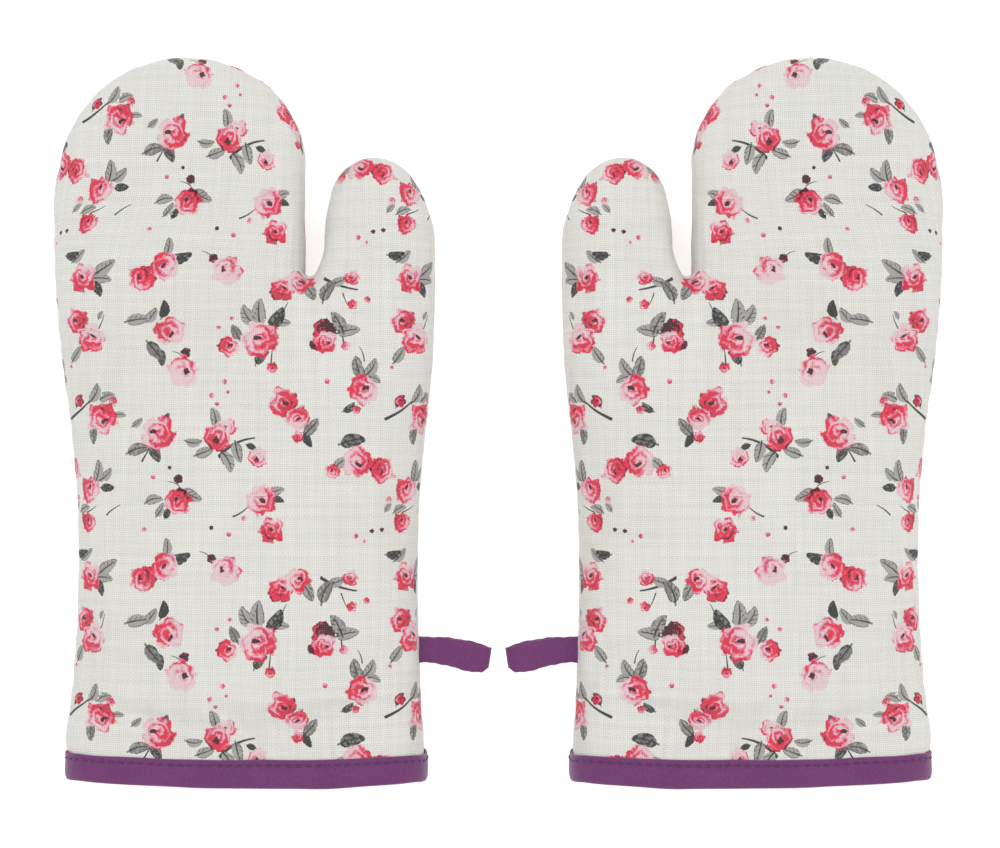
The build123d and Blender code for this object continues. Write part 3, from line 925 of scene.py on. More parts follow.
    def subdivide(self):
        """Rounds the cloth with one level of subdivision and reads it back as plain arrays of quads."""
        mesh = self.mesh()
        cloth = placed("mitt_cloth", mesh)
        cloth.modifiers.new("round", "SUBSURF").levels = 1
        rounded = cloth.evaluated_get(bpy.context.evaluated_depsgraph_get()).to_mesh()
        self.points = fetched(rounded.vertices, "co", 3).astype(float) / MM
        self.quads = fetched(rounded.loops, "vertex_index", kind=np.int32).reshape(-1, 4)
        flat, edge = (fetched(rounded.uv_layers[name].data, "uv", 2) for name in ("flat", "edge"))
        self.quad_flat = flat.reshape(-1, 4, 2).astype(float)
        self.quad_edge = edge[:, 0].reshape(-1, 4).astype(float)
        self.quad_panel = fetched(rounded.polygons, "material_index", kind=np.int32)
        cloth.to_mesh_clear()
        bpy.data.objects.remove(cloth)
        bpy.data.meshes.remove(mesh)

    def cuff_rise(self, x, y):
        """How far the cuff's edge is raised near the side seams."""
        aside = (x - self.outline.middle_x) / (self.s.cuff_width / 2)
        fade = np.clip(1 - (y - self.outline.cuff_y) / 80, 0, 1) ** 2
        little = np.clip(-aside, 0, 1) ** 1.5 * (1 - smooth(0.84, 1.08, -aside))
        thumb = 0.45 * smooth(0.40, 0.90, aside) * (1 - smooth(0.92, 1.04, aside))
        return self.s.cuff_lift * fade * (0.18 + little + thumb)

    def finish_form(self):
        """Creases the front, raises the cuff's edge and works out the cloth's normals."""
        x, y, z = self.points.T
        flank = smooth(0, 12, z - (self.outline.top_z(y) + self.outline.sole_z(y)) / 2)
        self.points[:, 2] += creased(x, y) * flank * smooth(14, 40, y - self.outline.cuff_y)
        self.points[:, 1] += self.cuff_rise(self.points[:, 0], self.points[:, 1])
        self.normals = point_normals(self.points, self.quads)


def point_normals(points, quads):
    """Each point's normal, weighted by the faces' areas."""
    a, b, c, d = (points[quads[:, k]] for k in range(4))
    facing = np.cross(c - a, d - b)
    normals = np.zeros_like(points)
    for k in range(4):
        np.add.at(normals, quads[:, k], facing)
    return normals / np.maximum(np.linalg.norm(normals, axis=1), 1e-12)[:, None]


# ---------------------------------------------------------------------------------------------------------
# Pieces
# ---------------------------------------------------------------------------------------------------------

SIDES = {"left": 1, "right": -1}


class Workbench:
    """What the operators share: the puffed mitt and the materials, made when first asked for."""

    mitt = None
    materials = {}

    @classmethod
    def cloth(cls, scene):
        if cls.mitt is None:
            cls.mitt = PuffedMitt(Sizes(scene.mitt_form, scene.mitt_layers))
        return cls.mitt

    @classmethod
    def material(cls, make, scene):
        if make.__name__ not in cls.materials:
            cls.materials[make.__name__] = make(Sizes(scene.mitt_colours, scene.mitt_layers))
        return cls.materials[make.__name__]


THUMB_BEND = (0.013, 0.026)  # metres before and past the thumb's fold; the thumb's pieces begin at the first


def joint(name):
    """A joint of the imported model, by name."""
    return next(j for j in frame["joints"] if j["name"] == name)


def thumb_line(side):
    """Places before and past the thumb's fold, and the way from the first to the second, in metres."""
    fold = joint(f"{side}_thumb_fold")
    place, axis = Vector(fold["pos_m"]), Vector(fold["axis"])
    away = Vector((-axis.y, axis.x, 0)).normalized()
    return place - away * THUMB_BEND[0], place + away * THUMB_BEND[1], away


def add_piece(name, points, faces, material):
    """A new mesh object in metres from points in millimetres, smooth and with one material."""
    mesh = bpy.data.meshes.new(name)
    mesh.from_pydata((np.asarray(points) * MM).tolist(), [], [tuple(map(int, face)) for face in faces])
    mesh.polygons.foreach_set("use_smooth", [True] * len(mesh.polygons))
    mesh.materials.append(material)
    piece = placed(name, mesh)
    return piece


def pressed(z):
    """Heights of cloth that lies on the table: what would sink into it is pressed flat instead."""
    return np.where(z < 0.3, 0.3 * np.exp(np.minimum(z - 0.3, 0) / 0.3), z)


def hollow_layer(name, cloth, chosen, outer, inner, material, mirrored, printed=False):
    """A closed sheet between two depths under the cloth's surface, over the chosen faces."""
    quads = cloth.quads[chosen]
    flat, edge = cloth.quad_flat[chosen], cloth.quad_edge[chosen]
    points, normals = cloth.points.copy(), cloth.normals.copy()
    if mirrored:
        points[:, 0] *= -1
        normals[:, 0] *= -1
        quads, flat, edge = quads[:, ::-1], flat[:, ::-1], edge[:, ::-1]
    used, quads = np.unique(quads, return_inverse=True)
    quads = quads.reshape(-1, 4)
    count = len(used)
    points, normals = points[used], normals[used]
    outer = outer if np.isscalar(outer) else outer[used]
    inner = inner if np.isscalar(inner) else inner[used]
    outside = points - normals * np.reshape(outer, (-1, 1))
    inside = points - normals * np.reshape(inner, (-1, 1))
    outside[:, 2] = pressed(outside[:, 2])
    starts, ends = quads.ravel(), np.roll(quads, -1, axis=1).ravel()
    flat_start, flat_end = flat.reshape(-1, 2), np.roll(flat, -1, axis=1).reshape(-1, 2)
    edge_start, edge_end = edge.ravel(), np.roll(edge, -1, axis=1).ravel()
    edges = list(zip(starts.tolist(), ends.tolist()))
    known = set(edges)
    rim = np.array([i for i, (a, b) in enumerate(edges) if (b, a) not in known])
    rim_quads = np.stack([ends[rim], starts[rim], starts[rim] + count, ends[rim] + count], 1)
    rim_flat = np.stack([flat_end[rim], flat_start[rim], flat_start[rim], flat_end[rim]], 1)
    rim_edge = np.stack([edge_end[rim], edge_start[rim], edge_start[rim], edge_end[rim]], 1)
    all_quads = np.vstack([quads, quads[:, ::-1] + count, rim_quads])
    all_flat = np.vstack([flat, flat[:, ::-1], rim_flat]).reshape(-1, 2)
    all_edge = np.vstack([edge, edge[:, ::-1], rim_edge]).ravel()
    body = np.vstack([outside, inside])
    piece = add_piece(name, body, all_quads, material)
    mesh = piece.data
    a, b, c, d = (body[rim_quads[:, k]] for k in range(4))
    facing = np.cross(c - a, d - b)
    facing /= np.maximum(np.linalg.norm(facing, axis=1), 1e-12)[:, None]
    corner_normals = np.vstack(
        [normals[quads.ravel()], -normals[quads[:, ::-1].ravel()], np.repeat(facing, 4, axis=0)]
    )
    store(mesh, "cloth", np.column_stack([all_flat, all_edge]))
    if printed:
        lay_print(mesh, all_flat, np.repeat(np.arange(len(all_quads)), 4))
    uv = mesh.uv_layers.new(name="UVMap")
    uv.data.foreach_set("uv", (all_flat / 500).astype(np.float32).ravel())
    mesh.normals_split_custom_set(corner_normals.tolist())
    return piece


def thumb_faces(cloth):
    """Which of the cloth's faces belong to the thumb's pieces."""
    start, _, away = thumb_line("left")
    middle = cloth.points[cloth.quads].mean(axis=1)
    past = (middle[:, 0] - start.x / MM) * away.x + (middle[:, 1] - start.y / MM) * away.y
    return (past > 0) & (middle[:, 0] > cloth.outline.notch_x)


def make_layer(scene, layer, outer, inner, material, printed=False):
    """All the pieces of one layer: front and back, fingers and thumb, left and right."""
    cloth = Workbench.cloth(scene)
    thumb = thumb_faces(cloth)
    for side in SIDES:
        for panel, half in enumerate(("front", "back")):
            for part, chosen in (("", ~thumb), ("_thumb", thumb)):
                piece = hollow_layer(
                    f"{side}_{half}_{layer}_on{part or '_hand'}", cloth, chosen & (cloth.quad_panel == panel),
                    outer, inner, material, side == "right", printed,
                )
                if part:
                    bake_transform(piece)
                    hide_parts(f"{side}_{half}_{layer}_thumb")
                else:
                    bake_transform(piece)
                    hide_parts(f"{side}_{half}_{layer}_palm", f"{side}_{half}_{layer}_fingers")


# ---------------------------------------------------------------------------------------------------------
# Materials
# ---------------------------------------------------------------------------------------------------------


def blended(first, second, amount):
    """A colour between two, worked out in Python."""
    return tuple(a + (b - a) * amount for a, b in zip(first, second))


def printed_cotton(c):
    """Coarse off-white plain weave, printed with roses, leaves and stems."""
    nodes = Nodes("printed_cotton")
    across, along, seam = nodes.attribute("cloth")
    height, shade = plain_weave(nodes, across, along, c.thread_pitch, 0.9)
    inks = {
        "blush_wash": blended(c.blush, c.cotton, 0.45),
        "blush": tuple(c.blush),
        "pink": tuple(c.pink),
        "crimson": tuple(c.crimson),
        "maroon": tuple(c.maroon),
        "pale_leaf": tuple(c.pale_leaf),
        "mid_leaf": blended(c.pale_leaf, c.dark_leaf, 0.5),
        "dark_leaf": tuple(c.dark_leaf),
    }
    broad = nodes.noise(nodes.vector(across * 0.012, along * 0.012, 4.0), 1.0, 3.0).value(0)
    creamy = tuple(v * k for v, k in zip(c.cotton, (0.97, 0.965, 0.94)))
    cloth = nodes.mix(broad.band(0.35, 0.7), tuple(c.cotton), creamy)
    fibre = nodes.noise(nodes.vector(across, along, 2.0), 1.6, 3.0, 0.7).value(0)
    gap = (1 - height).highest(0.0)
    hold = 1.0 - gap * 0.10 + (fibre - 0.5) * 0.12
    for name in ("stem", "small_leaf", "leaf"):
        ink, cover = leaf_ink(nodes, name, inks)
        cloth = nodes.mix((cover * hold).clamped(), cloth, ink)
    for name in ("flower", "rose"):
        ink, cover = rose_ink(nodes, name, inks)
        cloth = nodes.mix((cover * hold).clamped(), cloth, ink)
    # Painted shade: the cloth is darkened in the weave's thread gaps and within 6 mm of the seam; each
    # thread's own tone and the fibre noise vary at random.
    painted_seam_shade = seam.band(6.0, 0.0)
    thread = 1.06 - gap * gap * 0.34 + (shade - 0.5) * 0.44 + (fibre - 0.5) * 0.12 - painted_seam_shade * 0.05
    cloth = nodes.toned(cloth, thread)
    relief = height * 0.75 + (shade - 0.5) * 0.5 + (fibre - 0.5) * 0.15
    return nodes.finish(
        Base_Color=cloth,
        Roughness=0.86 - shade * 0.08,
        Normal=nodes.bump(relief, 0.00022, 0.9),
        Sheen_Weight=0.12,
        Sheen_Roughness=0.5,
        Specular_IOR_Level=0.25,
    )


def lining_cotton(c):
    """Plain off-white lining with quilting stitches along its diamonds."""
    nodes = Nodes("lining_cotton")
    across, along, seam = nodes.attribute("cloth")
    height, shade = plain_weave(nodes, across, along, 0.6, 0.10)
    pitch, stitch = c.quilt_pitch * math.sqrt(2), 3.4
    one_way, other_way = across + along, across - along
    first = (abs((one_way / pitch).fract() - 0.5) > 0.489) * ((other_way / stitch).fract() < 0.66)
    second = (abs((other_way / pitch).fract() - 0.5) > 0.489) * ((one_way / stitch).fract() < 0.66)
    sewn = first.highest(second)
    # Painted shade: the lining is darkened in the weave's thread gaps and within 8 mm of the seam; each
    # thread's own tone varies at random.
    tone = 1.0 - (1 - height) * 0.12 + (shade - 0.5) * 0.12 - seam.band(8.0, 0.0) * 0.08
    cloth = nodes.toned(tuple(c.lining), tone)
    cloth = nodes.mix(sewn * 0.6, cloth, blended(c.lining, (0.4, 0.38, 0.35), 0.5))
    return nodes.finish(
        Base_Color=cloth,
        Roughness=0.88 - shade * 0.06,
        Normal=nodes.bump(height * 0.6 + sewn * 1.5, 0.0002, 0.8),
        Sheen_Weight=0.1,
        Specular_IOR_Level=0.25,
    )


def fluffy_wadding(c):
    """White felted wadding."""
    nodes = Nodes("wadding")
    across, along, _ = nodes.attribute("cloth")
    fluff = nodes.noise(nodes.vector(across, along, 1.0), 0.9, 5.0, 0.7).value(0)
    tone = 0.9 + fluff * 0.16
    cloth = nodes.toned(tuple(c.wadding), tone)
    return nodes.finish(
        Base_Color=cloth, Roughness=0.9 + fluff * 0.1, Normal=nodes.bump(fluff, 0.0012, 0.7), Sheen_Weight=0.3
    )


def twill_tape(c):
    """Purple twill tape: fine diagonal ribs, slightly worn along its folded edges."""
    nodes = Nodes("binding_tape")
    along, across, edge = nodes.attribute("tape")
    wander = nodes.noise(nodes.vector(along * 0.3, across * 0.3, 5.0), 1.0, 3.0).value(0)
    rib = ((along * 0.78 + across) / 1.05 + wander * 0.9).fract()
    hump = rib * (1 - rib) * 4
    cross = ((along - across * 0.5) / 0.85 - wander * 0.8).fract()
    fleck = nodes.noise(nodes.vector(along * 0.95, across * 0.55, 2.0), 1.0, 4.0, 0.75).value(0)
    broad = nodes.noise(nodes.vector(along * 0.04, across * 0.12, 8.0), 1.0, 2.0).value(0)
    # Painted shade and highlight: the ribs' crests are lighter and their grooves darker; fleck and broad vary
    # the tone at random and the cross lines darken the twill's pattern.
    tone = 0.66 + hump * 0.75 + (fleck - 0.5) * 0.9 + (broad - 0.5) * 0.4 - (cross > 0.6) * 0.22
    cloth = nodes.toned(tuple(c.tape), tone)
    worn = edge.band(0.55, 1.0) * (0.35 + (fleck - 0.5) * 0.8).clamped()
    cloth = nodes.mix(worn, cloth, blended(c.tape, (0.55, 0.42, 0.53), 0.4))
    return nodes.finish(
        Base_Color=cloth,
        Roughness=0.78 - hump * 0.1,
        Normal=nodes.bump(hump * 0.8 + (1 - cross) * 0.25 + fleck * 0.3, 0.00016, 0.8),
        Sheen_Weight=0.25,
        Sheen_Roughness=0.4,
        Specular_IOR_Level=0.3,
    )


def sewing_thread(c):
    """Twisted sewing thread, a little darker than the tape."""
    nodes = Nodes("stitching_thread")
    along, around, _ = nodes.attribute("tape")
    ply = ((along / 0.55) + around).fract()
    hump = ply * (1 - ply) * 4
    # Painted shade and highlight: the thread is darker between its plies and lighter on their crests.
    tone = 0.75 + hump * 0.4
    return nodes.finish(
        Base_Color=nodes.toned(tuple(c.thread), tone),
        Roughness=0.6 - hump * 0.1,
        Normal=nodes.bump(hump, 0.0001, 0.8),
        Sheen_Weight=0.2,
    )


# ---------------------------------------------------------------------------------------------------------
# The cuff's ring, its binding, its stitches and the hanging loop
# ---------------------------------------------------------------------------------------------------------


class CuffRing:
    """The line round the cuff on the shell's surface, from a side seam over the front and back under it."""

    def __init__(self, cloth):
        self.cloth, self.outline = cloth, cloth.outline
        self.share = np.linspace(0, 4, 4001)
        self.tape_y = self.outline.cuff_y + 6
        x, z = self.spots(self.tape_y, self.share)
        run = np.hypot(np.diff(x), np.diff(z))
        self.walked = np.concatenate([[0], np.cumsum(run)])
        self.girth = self.walked[-1]

    def spots(self, y, share_):
        """x and z on the shell's surface. The share is 0 to 2 across the front and 2 to 4 back under it."""
        outline = self.outline
        left, right = outline.side_x(0, y), outline.side_x(1, y)
        turn = share_ % 4
        across = np.where(turn < 2, turn / 2, 2 - turn / 2)
        eased = 0.35 * across + 0.325 * (1 - np.cos(np.pi * across))
        x = left + (right - left) * eased
        inset = np.minimum(x - left, right - x)
        half = (outline.top_z(y) - outline.sole_z(y)) / 2
        middle = (outline.top_z(y) + outline.sole_z(y)) / 2
        return x, middle + np.where(turn < 2, 1, -1) * half * outline.rise(inset)

    def at(self, walked, y, off):
        """Places at a distance walked round the ring, at y along the mitt and off the shell's surface."""
        walked = np.mod(walked, self.girth)
        share_ = np.interp(walked, self.walked, self.share)
        step = 0.012
        x, z = self.spots(y, share_)
        x0, z0 = self.spots(y, share_ - step)
        x1, z1 = self.spots(y, share_ + step)
        run = np.stack([x1 - x0, z1 - z0], -1)
        run /= np.maximum(np.hypot(run[..., 0], run[..., 1]), 1e-9)[..., None]
        x = x - run[..., 1] * off
        z = z + run[..., 0] * off
        place = np.stack([x, y + 0 * x, z], -1)
        place[..., 1] += self.cloth.cuff_rise(place[..., 0], place[..., 1])
        return place


def grid_faces(rows, columns, closed=True):
    """Quads over rows of points that are each a ring, the last row joined to the first if closed."""
    i, j = np.meshgrid(np.arange(rows if closed else rows - 1), np.arange(columns), indexing="ij")
    a, b = (i * columns + j), (i * columns + (j + 1) % columns)
    d, e = ((i + 1) % rows) * columns + j, ((i + 1) % rows) * columns + (j + 1) % columns
    return np.stack([a, b, e, d], -1).reshape(-1, 4)


def wobble(walked, girth, seed):
    """A slow, closed up-and-down along the ring, between about -1 and 1."""
    turn = walked / girth * 2 * np.pi
    return (
        np.sin(3 * turn + seed) + 0.8 * np.sin(7 * turn + 2.1 * seed) + 0.6 * np.sin(13 * turn + 3.3 * seed)
    ) / 2.4


def binding_mesh(ring, s):
    """The folded tape's points, faces and tape places."""
    top, fold = s.tape_height, s.tape_cloth
    inner = -s.wall()
    profile = [
        (0.10, top - 0.9), (0.15, top - 0.25), (0.42, top + 0.0), (0.75, top - 0.15), (0.92, top - 0.7),
        (0.95, top - 1.6), (0.76, top - 2.3), (0.66, top - 2.6), (0.76, top - 2.9), (0.98, top - 3.6),
        (1.10, top - 5.5), (1.16, 5.0), (1.12, 3.0), (0.85, 1.4), (0.40, 0.45), (-0.25, 0.05),
        (inner / 2, 0.0), (inner - 0.15, 0.0), (inner - 0.75, 0.25), (inner - 1.12, 1.0),
        (inner - 1.22, 2.0), (inner - 1.22, 6.0), (inner - 1.18, top - 3.2), (inner - 0.95, top - 2.6),
        (inner - 1.14, top - 2.0), (inner - 1.1, top - 0.9), (inner - 0.8, top - 0.3),
        (inner - 0.4, top - 0.2), (inner - 0.12, top - 0.6), (inner - 0.02, top - 1.6),
        (inner, fold + 1.6), (inner + 0.4, fold + 0.4),
        (inner / 2, fold + 0.2), (-0.4, fold + 0.4), (0.02, fold + 1.6), (0.05, top - 2.2),
    ]
    profile = np.array(profile)
    tape_step = 0.62
    count = int(round(ring.girth / tape_step))
    walked = np.arange(count) * ring.girth / count
    off = np.repeat(profile[None, :, 0], count, 0)
    up = np.repeat(profile[None, :, 1], count, 0)
    outward = (profile[:, 0] > 0.6) * 1.0
    upper = smooth(5.0, 11.0, profile[:, 1])
    up += wobble(walked, ring.girth, 1.3)[:, None] * 0.32 * upper
    up += wobble(walked, ring.girth, 4.1)[:, None] * 0.22 * (1 - upper)
    off += wobble(walked * 5, ring.girth, 2.2)[:, None] * 0.10 * outward * smooth(1.5, 6, profile[:, 1])
    phase = (walked / s.stitch_pitch) % 1
    hole = np.exp(-(((phase[:, None] - np.array((0.15, 0.85))) / 0.07) ** 2)).sum(1)
    near = np.exp(-(((profile[:, 1] - (top - s.stitch_inset)) / 0.7) ** 2)) * (np.abs(profile[:, 0]) > 0.6)
    sign = np.where(profile[:, 0] > 0, 1, -1)
    off -= hole[:, None] * near * sign * 0.22
    # The tape's ends are joined on the slant, on the front
    join_x = -79.5
    x, _ = ring.spots(ring.tape_y, np.interp(walked, ring.walked, ring.share))
    front = walked < ring.girth / 2
    slant = x[:, None] - (join_x + (top - profile[None, :, 1]) * 0.72)
    join = np.exp(-((slant / 0.45) ** 2)) - 0.55 * np.exp(-(((slant - 1.5) / 1.1) ** 2))
    off -= np.where(front[:, None], join * outward * 0.42, 0)
    place = ring.at(walked[:, None], ring.outline.cuff_y + up, off)
    place[..., 2] = pressed(place[..., 2])
    across = walk(np.vstack([profile, profile[:1]]))
    worn = np.exp(-(((profile[:, 1] - top) / 0.5) ** 2)) + np.exp(-((profile[:, 1] / 0.5) ** 2))
    corners = grid_places(walked, walked + walked[1], across, np.clip(worn, 0, 1)).reshape(-1, 3)
    return place.reshape(-1, 3), grid_faces(count, len(profile)).tolist(), corners


def grid_places(near, far, across, third):
    """Corner values for grid_faces: how far along each row of faces starts and ends, across, and a third."""
    columns = len(third)
    i, j = np.meshgrid(np.arange(len(near)), np.arange(columns), indexing="ij")
    following = (j + 1) % columns
    value = [
        (near[i], across[j], third[j]), (near[i], across[j + 1], third[following]),
        (far[i], across[j + 1], third[following]), (far[i], across[j], third[j]),
    ]
    return np.stack([np.stack(v, -1) for v in value], 2)


def walk(points):
    """How far along a line of points each one lies."""
    return np.concatenate([[0], np.cumsum(np.linalg.norm(np.diff(points, axis=0), axis=1))])


def closed_tube(walked, across, third, start=0):
    """Faces and corner values of a tube with closed ends, whose points begin at start."""
    rows, columns = len(walked), len(third)
    end = start + rows * columns
    faces = (grid_faces(rows, columns, closed=False)[:, ::-1] + start).tolist()
    faces += [list(range(start, start + columns)), list(range(end - 1, end - columns - 1, -1))]
    corners = grid_places(walked[:-1], walked[1:], across, third)[:, :, ::-1].reshape(-1, 3)
    return faces, np.vstack([corners, np.zeros((2 * columns, 3))])


def tube_pieces(paths, radius, sides=8):
    """Short closed tubes with narrow ends, one for each path and its upward directions."""
    points, faces, corners = [], [], []
    angles = np.arange(sides) / sides * 2 * np.pi
    for number, (path, up) in enumerate(paths):
        run = np.gradient(path, axis=0)
        run /= np.linalg.norm(run, axis=1)[:, None]
        side = np.cross(run, up)
        side /= np.linalg.norm(side, axis=1)[:, None]
        over = np.cross(side, run)
        thin = radius * np.sqrt(np.clip(1 - np.linspace(-1, 1, len(path)) ** 4, 0.04, 1))
        round_ = side[:, None] * np.cos(angles)[:, None] + over[:, None] * np.sin(angles)[:, None]
        points.append((path[:, None] + round_ * thin[:, None, None]).reshape(-1, 3))
        start = number * len(path) * sides
        tube, places = closed_tube(walk(path), np.arange(sides + 1) / sides, np.zeros(sides), start)
        faces += tube
        corners.append(places)
    return np.vstack(points), faces, np.vstack(corners)


def mirror(points, faces, corners):
    """The same piece for the right mitt. Corners are reversed with their faces."""
    flipped = np.array(points, float)
    flipped[:, 0] *= -1
    turned, values, at = [], [], 0
    corners = np.asarray(corners)
    for face in faces:
        turned.append(tuple(face)[::-1])
        values.append(corners[at : at + len(face)][::-1])
        at += len(face)
    return flipped, turned, np.vstack(values)


def both_mitts(name, points, faces, corners, material):
    """The piece on the left mitt and its mirror image on the right one."""
    made = {}
    for side in SIDES:
        shape = (points, faces, corners) if side == "left" else mirror(points, faces, corners)
        piece = add_piece(f"{side}_{name}", shape[0], shape[1], material)
        store(piece.data, "tape", shape[2])
        made[side] = piece
    return made


def loop_mesh(cloth, s):
    """The hanging loop: a tape out of the side seam, round its open end and back."""
    outline = cloth.outline
    loop_y = outline.cuff_y + s.loop_height
    seam_x = outline.side_x(1, loop_y)
    seam_z = (outline.sole_z(loop_y) + outline.top_z(loop_y)) / 2
    thick = 1.1
    round_ = s.loop_eye / 2 + thick / 2
    end_x = seam_x + s.loop_reach - s.loop_eye / 2 - thick
    root_x = seam_x - 5.0
    reach = end_x - root_x
    tilt = math.asin((round_ - 0.6) / reach)
    leg = np.linspace(0, 1, 64)[:, None]
    upper_end = np.array((end_x - round_ * math.sin(tilt), round_ * math.cos(tilt)))
    root = np.array((root_x, 0.6))
    upper = root + (upper_end - root) * leg
    angles = np.linspace(math.pi / 2 + tilt, -math.pi / 2 - tilt, 26)[1:-1]
    bend = np.column_stack([end_x + round_ * np.cos(angles), round_ * np.sin(angles)])
    lower = upper[::-1] * (1, -1)
    path = np.vstack([upper, bend, lower])
    sag = 0.35 * np.sin(np.clip((path[:, 0] - seam_x) / s.loop_reach, 0, 1) * np.pi)
    path[:, 1] += np.where(path[:, 1] > 0, -sag, sag * 0.4)
    run = np.gradient(path, axis=0)
    run /= np.hypot(*run.T)[:, None]
    off = np.column_stack([-run[:, 1], run[:, 0]])
    half, t = s.loop_width / 2, thick / 2
    upper_rim = [(half - 0.12, 0.75 * t), (half - 0.5, 1.05 * t), (half - 1.1, 0.98 * t)]
    upper_rim += [(half - 1.5, 0.8 * t), (half - 1.9, 0.98 * t)]
    section = [(-half, 0)] + [(-place, high) for place, high in upper_rim]
    section += [(-half / 2, t), (0, t), (half / 2, t)] + upper_rim[::-1] + [(half, 0)]
    section += [(half - 0.12, -0.75 * t), (half - 0.5, -t), (half / 2, -t), (0, -t)]
    section += [(-half / 2, -t), (-half + 0.5, -t), (-half + 0.12, -0.75 * t)]
    section = np.array(section)
    walked = walk(path)
    out = np.clip((path[:, 0] - seam_x) / s.loop_reach, -0.2, 1.1)
    upper_droop = s.loop_droop * 1.08 * np.clip(out, 0, 1.1) ** 2.6
    lower_droop = s.loop_droop * (0.88 * smooth(0.12, 0.86, out) - 0.42 * smooth(0.88, 1.0, out))
    ripple = 0.14 * np.sin(walked * 0.55) + 0.1 * np.sin(walked * 1.3 + 1)
    x = path[:, None, 0] + off[:, None, 0] * section[None, :, 1]
    z = path[:, None, 1] + off[:, None, 1] * section[None, :, 1]
    x = x + (section[None, :, 0] * 0.12) * smooth(0.6, 1, out)[:, None]
    high = 0.5 + section[None, :, 0] / s.loop_width
    droop = upper_droop[:, None] * high + lower_droop[:, None] * (1 - high)
    y = loop_y + section[None, :, 0] - droop + ripple[:, None] * np.sign(section[None, :, 0])
    points = np.stack([x, y, z + seam_z], -1).reshape(-1, 3)
    worn = np.exp(-(((np.abs(section[:, 0]) - half) / 0.35) ** 2))
    faces, corners = closed_tube(walked, walk(np.vstack([section, section[:1]])), worn)
    return points, faces, corners, seam_x, loop_y, seam_z


# ---------------------------------------------------------------------------------------------------------
# Operators
# ---------------------------------------------------------------------------------------------------------


class MITT_OT_shells(bpy.types.Operator):
    """Makes the printed cotton shells of both mitts"""

    bl_idname = "mitt.shells"
    bl_label = "Printed shells"

    def execute(self, context):
        s = Sizes(context.scene.mitt_layers)
        material = Workbench.material(printed_cotton, context.scene)
        make_layer(context.scene, "shell", 0.0, s.shell_cloth, material, printed=True)
        return {"FINISHED"}


class MITT_OT_wadding(bpy.types.Operator):
    """Makes the wadding inside both mitts"""

    bl_idname = "mitt.wadding"
    bl_label = "Wadding"

    def execute(self, context):
        s = Sizes(context.scene.mitt_layers)
        material = Workbench.material(fluffy_wadding, context.scene)
        outer = s.shell_cloth + 0.1
        make_layer(context.scene, "wadding", outer, outer + s.wadding_pad - 0.2, material)
        return {"FINISHED"}


class MITT_OT_lining(bpy.types.Operator):
    """Makes the quilted linings of both mitts"""

    bl_idname = "mitt.lining"
    bl_label = "Linings"

    def execute(self, context):
        s = Sizes(context.scene.mitt_layers)
        cloth = Workbench.cloth(context.scene)
        flat = np.zeros((len(cloth.points), 2))
        flat[cloth.quads.ravel()] = cloth.quad_flat.reshape(-1, 2)
        pitch = s.quilt_pitch * math.sqrt(2)
        lines = [np.abs((flat[:, 0] + sign * flat[:, 1]) / pitch % 1 - 0.5) for sign in (1, -1)]
        to_line = (0.5 - np.maximum(*lines)) * s.quilt_pitch
        above = cloth.points[:, 1] - cloth.outline.cuff_y
        swell = 1.5 * (1 - np.exp(-((to_line / 5.5) ** 2))) * smooth(14, 26, above)
        outer = s.shell_cloth + s.wadding_pad
        material = Workbench.material(lining_cotton, context.scene)
        inner = outer + s.lining_cloth - 0.1 + swell
        make_layer(context.scene, "lining", outer, inner, material)
        return {"FINISHED"}


class MITT_OT_binding(bpy.types.Operator):
    """Makes the folded tape round both cuffs"""

    bl_idname = "mitt.binding"
    bl_label = "Cuff bindings"

    def execute(self, context):
        s = Sizes(context.scene.mitt_layers)
        ring = CuffRing(Workbench.cloth(context.scene))
        points, faces, corners = binding_mesh(ring, s)
        material = Workbench.material(twill_tape, context.scene)
        made = both_mitts("cuff_binding_tape", points, faces, corners, material)
        for side, piece in made.items():
            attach(piece, f"{side}_palm")
            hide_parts(f"{side}_cuff_binding")
        return {"FINISHED"}


class MITT_OT_stitches(bpy.types.Operator):
    """Makes the row of stitches that holds each binding, outside and inside the cuff"""

    bl_idname = "mitt.stitches"
    bl_label = "Binding stitches"

    def execute(self, context):
        s = Sizes(context.scene.mitt_layers)
        ring = CuffRing(Workbench.cloth(context.scene))
        count = int(round(ring.girth / s.stitch_pitch))
        pitch = ring.girth / count
        paths = []
        t = np.linspace(-1, 1, 9)
        for i in range(count):
            for surface, out in ((0.72, 1), (-s.wall() - 1.0, -1)):
                middle = (i + 0.5) * pitch + 0.12 * math.sin(i * 2.7)
                walked = middle + t * s.stitch_length / 2
                lift = surface + out * (0.34 - 0.62 * np.abs(t) ** 3)
                up = s.tape_height - s.stitch_inset + 0.06 * math.sin(i * 4.1) + 0.10 * t
                y = ring.outline.cuff_y + up + 0.32 * wobble(walked, ring.girth, 1.3)
                path = ring.at(walked, y, lift)
                outside = ring.at(walked, y, lift + out) - path
                paths.append((path, outside / np.linalg.norm(outside, axis=1)[:, None]))
        points, faces, corners = tube_pieces(paths, 0.33)
        points[:, 2] = pressed(points[:, 2])
        material = Workbench.material(sewing_thread, context.scene)
        made = both_mitts("cuff_stitches", points, faces, corners, material)
        for side, piece in made.items():
            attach(piece, f"{side}_palm")
            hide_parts(f"{side}_binding_stitches")
        return {"FINISHED"}


class MITT_OT_loops(bpy.types.Operator):
    """Makes the hanging loop at each mitt's side seam"""

    bl_idname = "mitt.loops"
    bl_label = "Hanging loops"

    def execute(self, context):
        s = Sizes(context.scene.mitt_layers)
        points, faces, corners, seam_x, loop_y, seam_z = loop_mesh(Workbench.cloth(context.scene), s)
        material = Workbench.material(twill_tape, context.scene)
        made = both_mitts("hanging_tape", points, faces, corners, material)
        for side, piece in made.items():
            sign = SIDES[side]
            start = Vector((sign * (seam_x - 0.5), loop_y, seam_z)) * MM
            end = Vector((sign * (seam_x + 6.0), loop_y, seam_z)) * MM
            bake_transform(piece)
            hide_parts(f"{side}_hanging_loop")
        return {"FINISHED"}


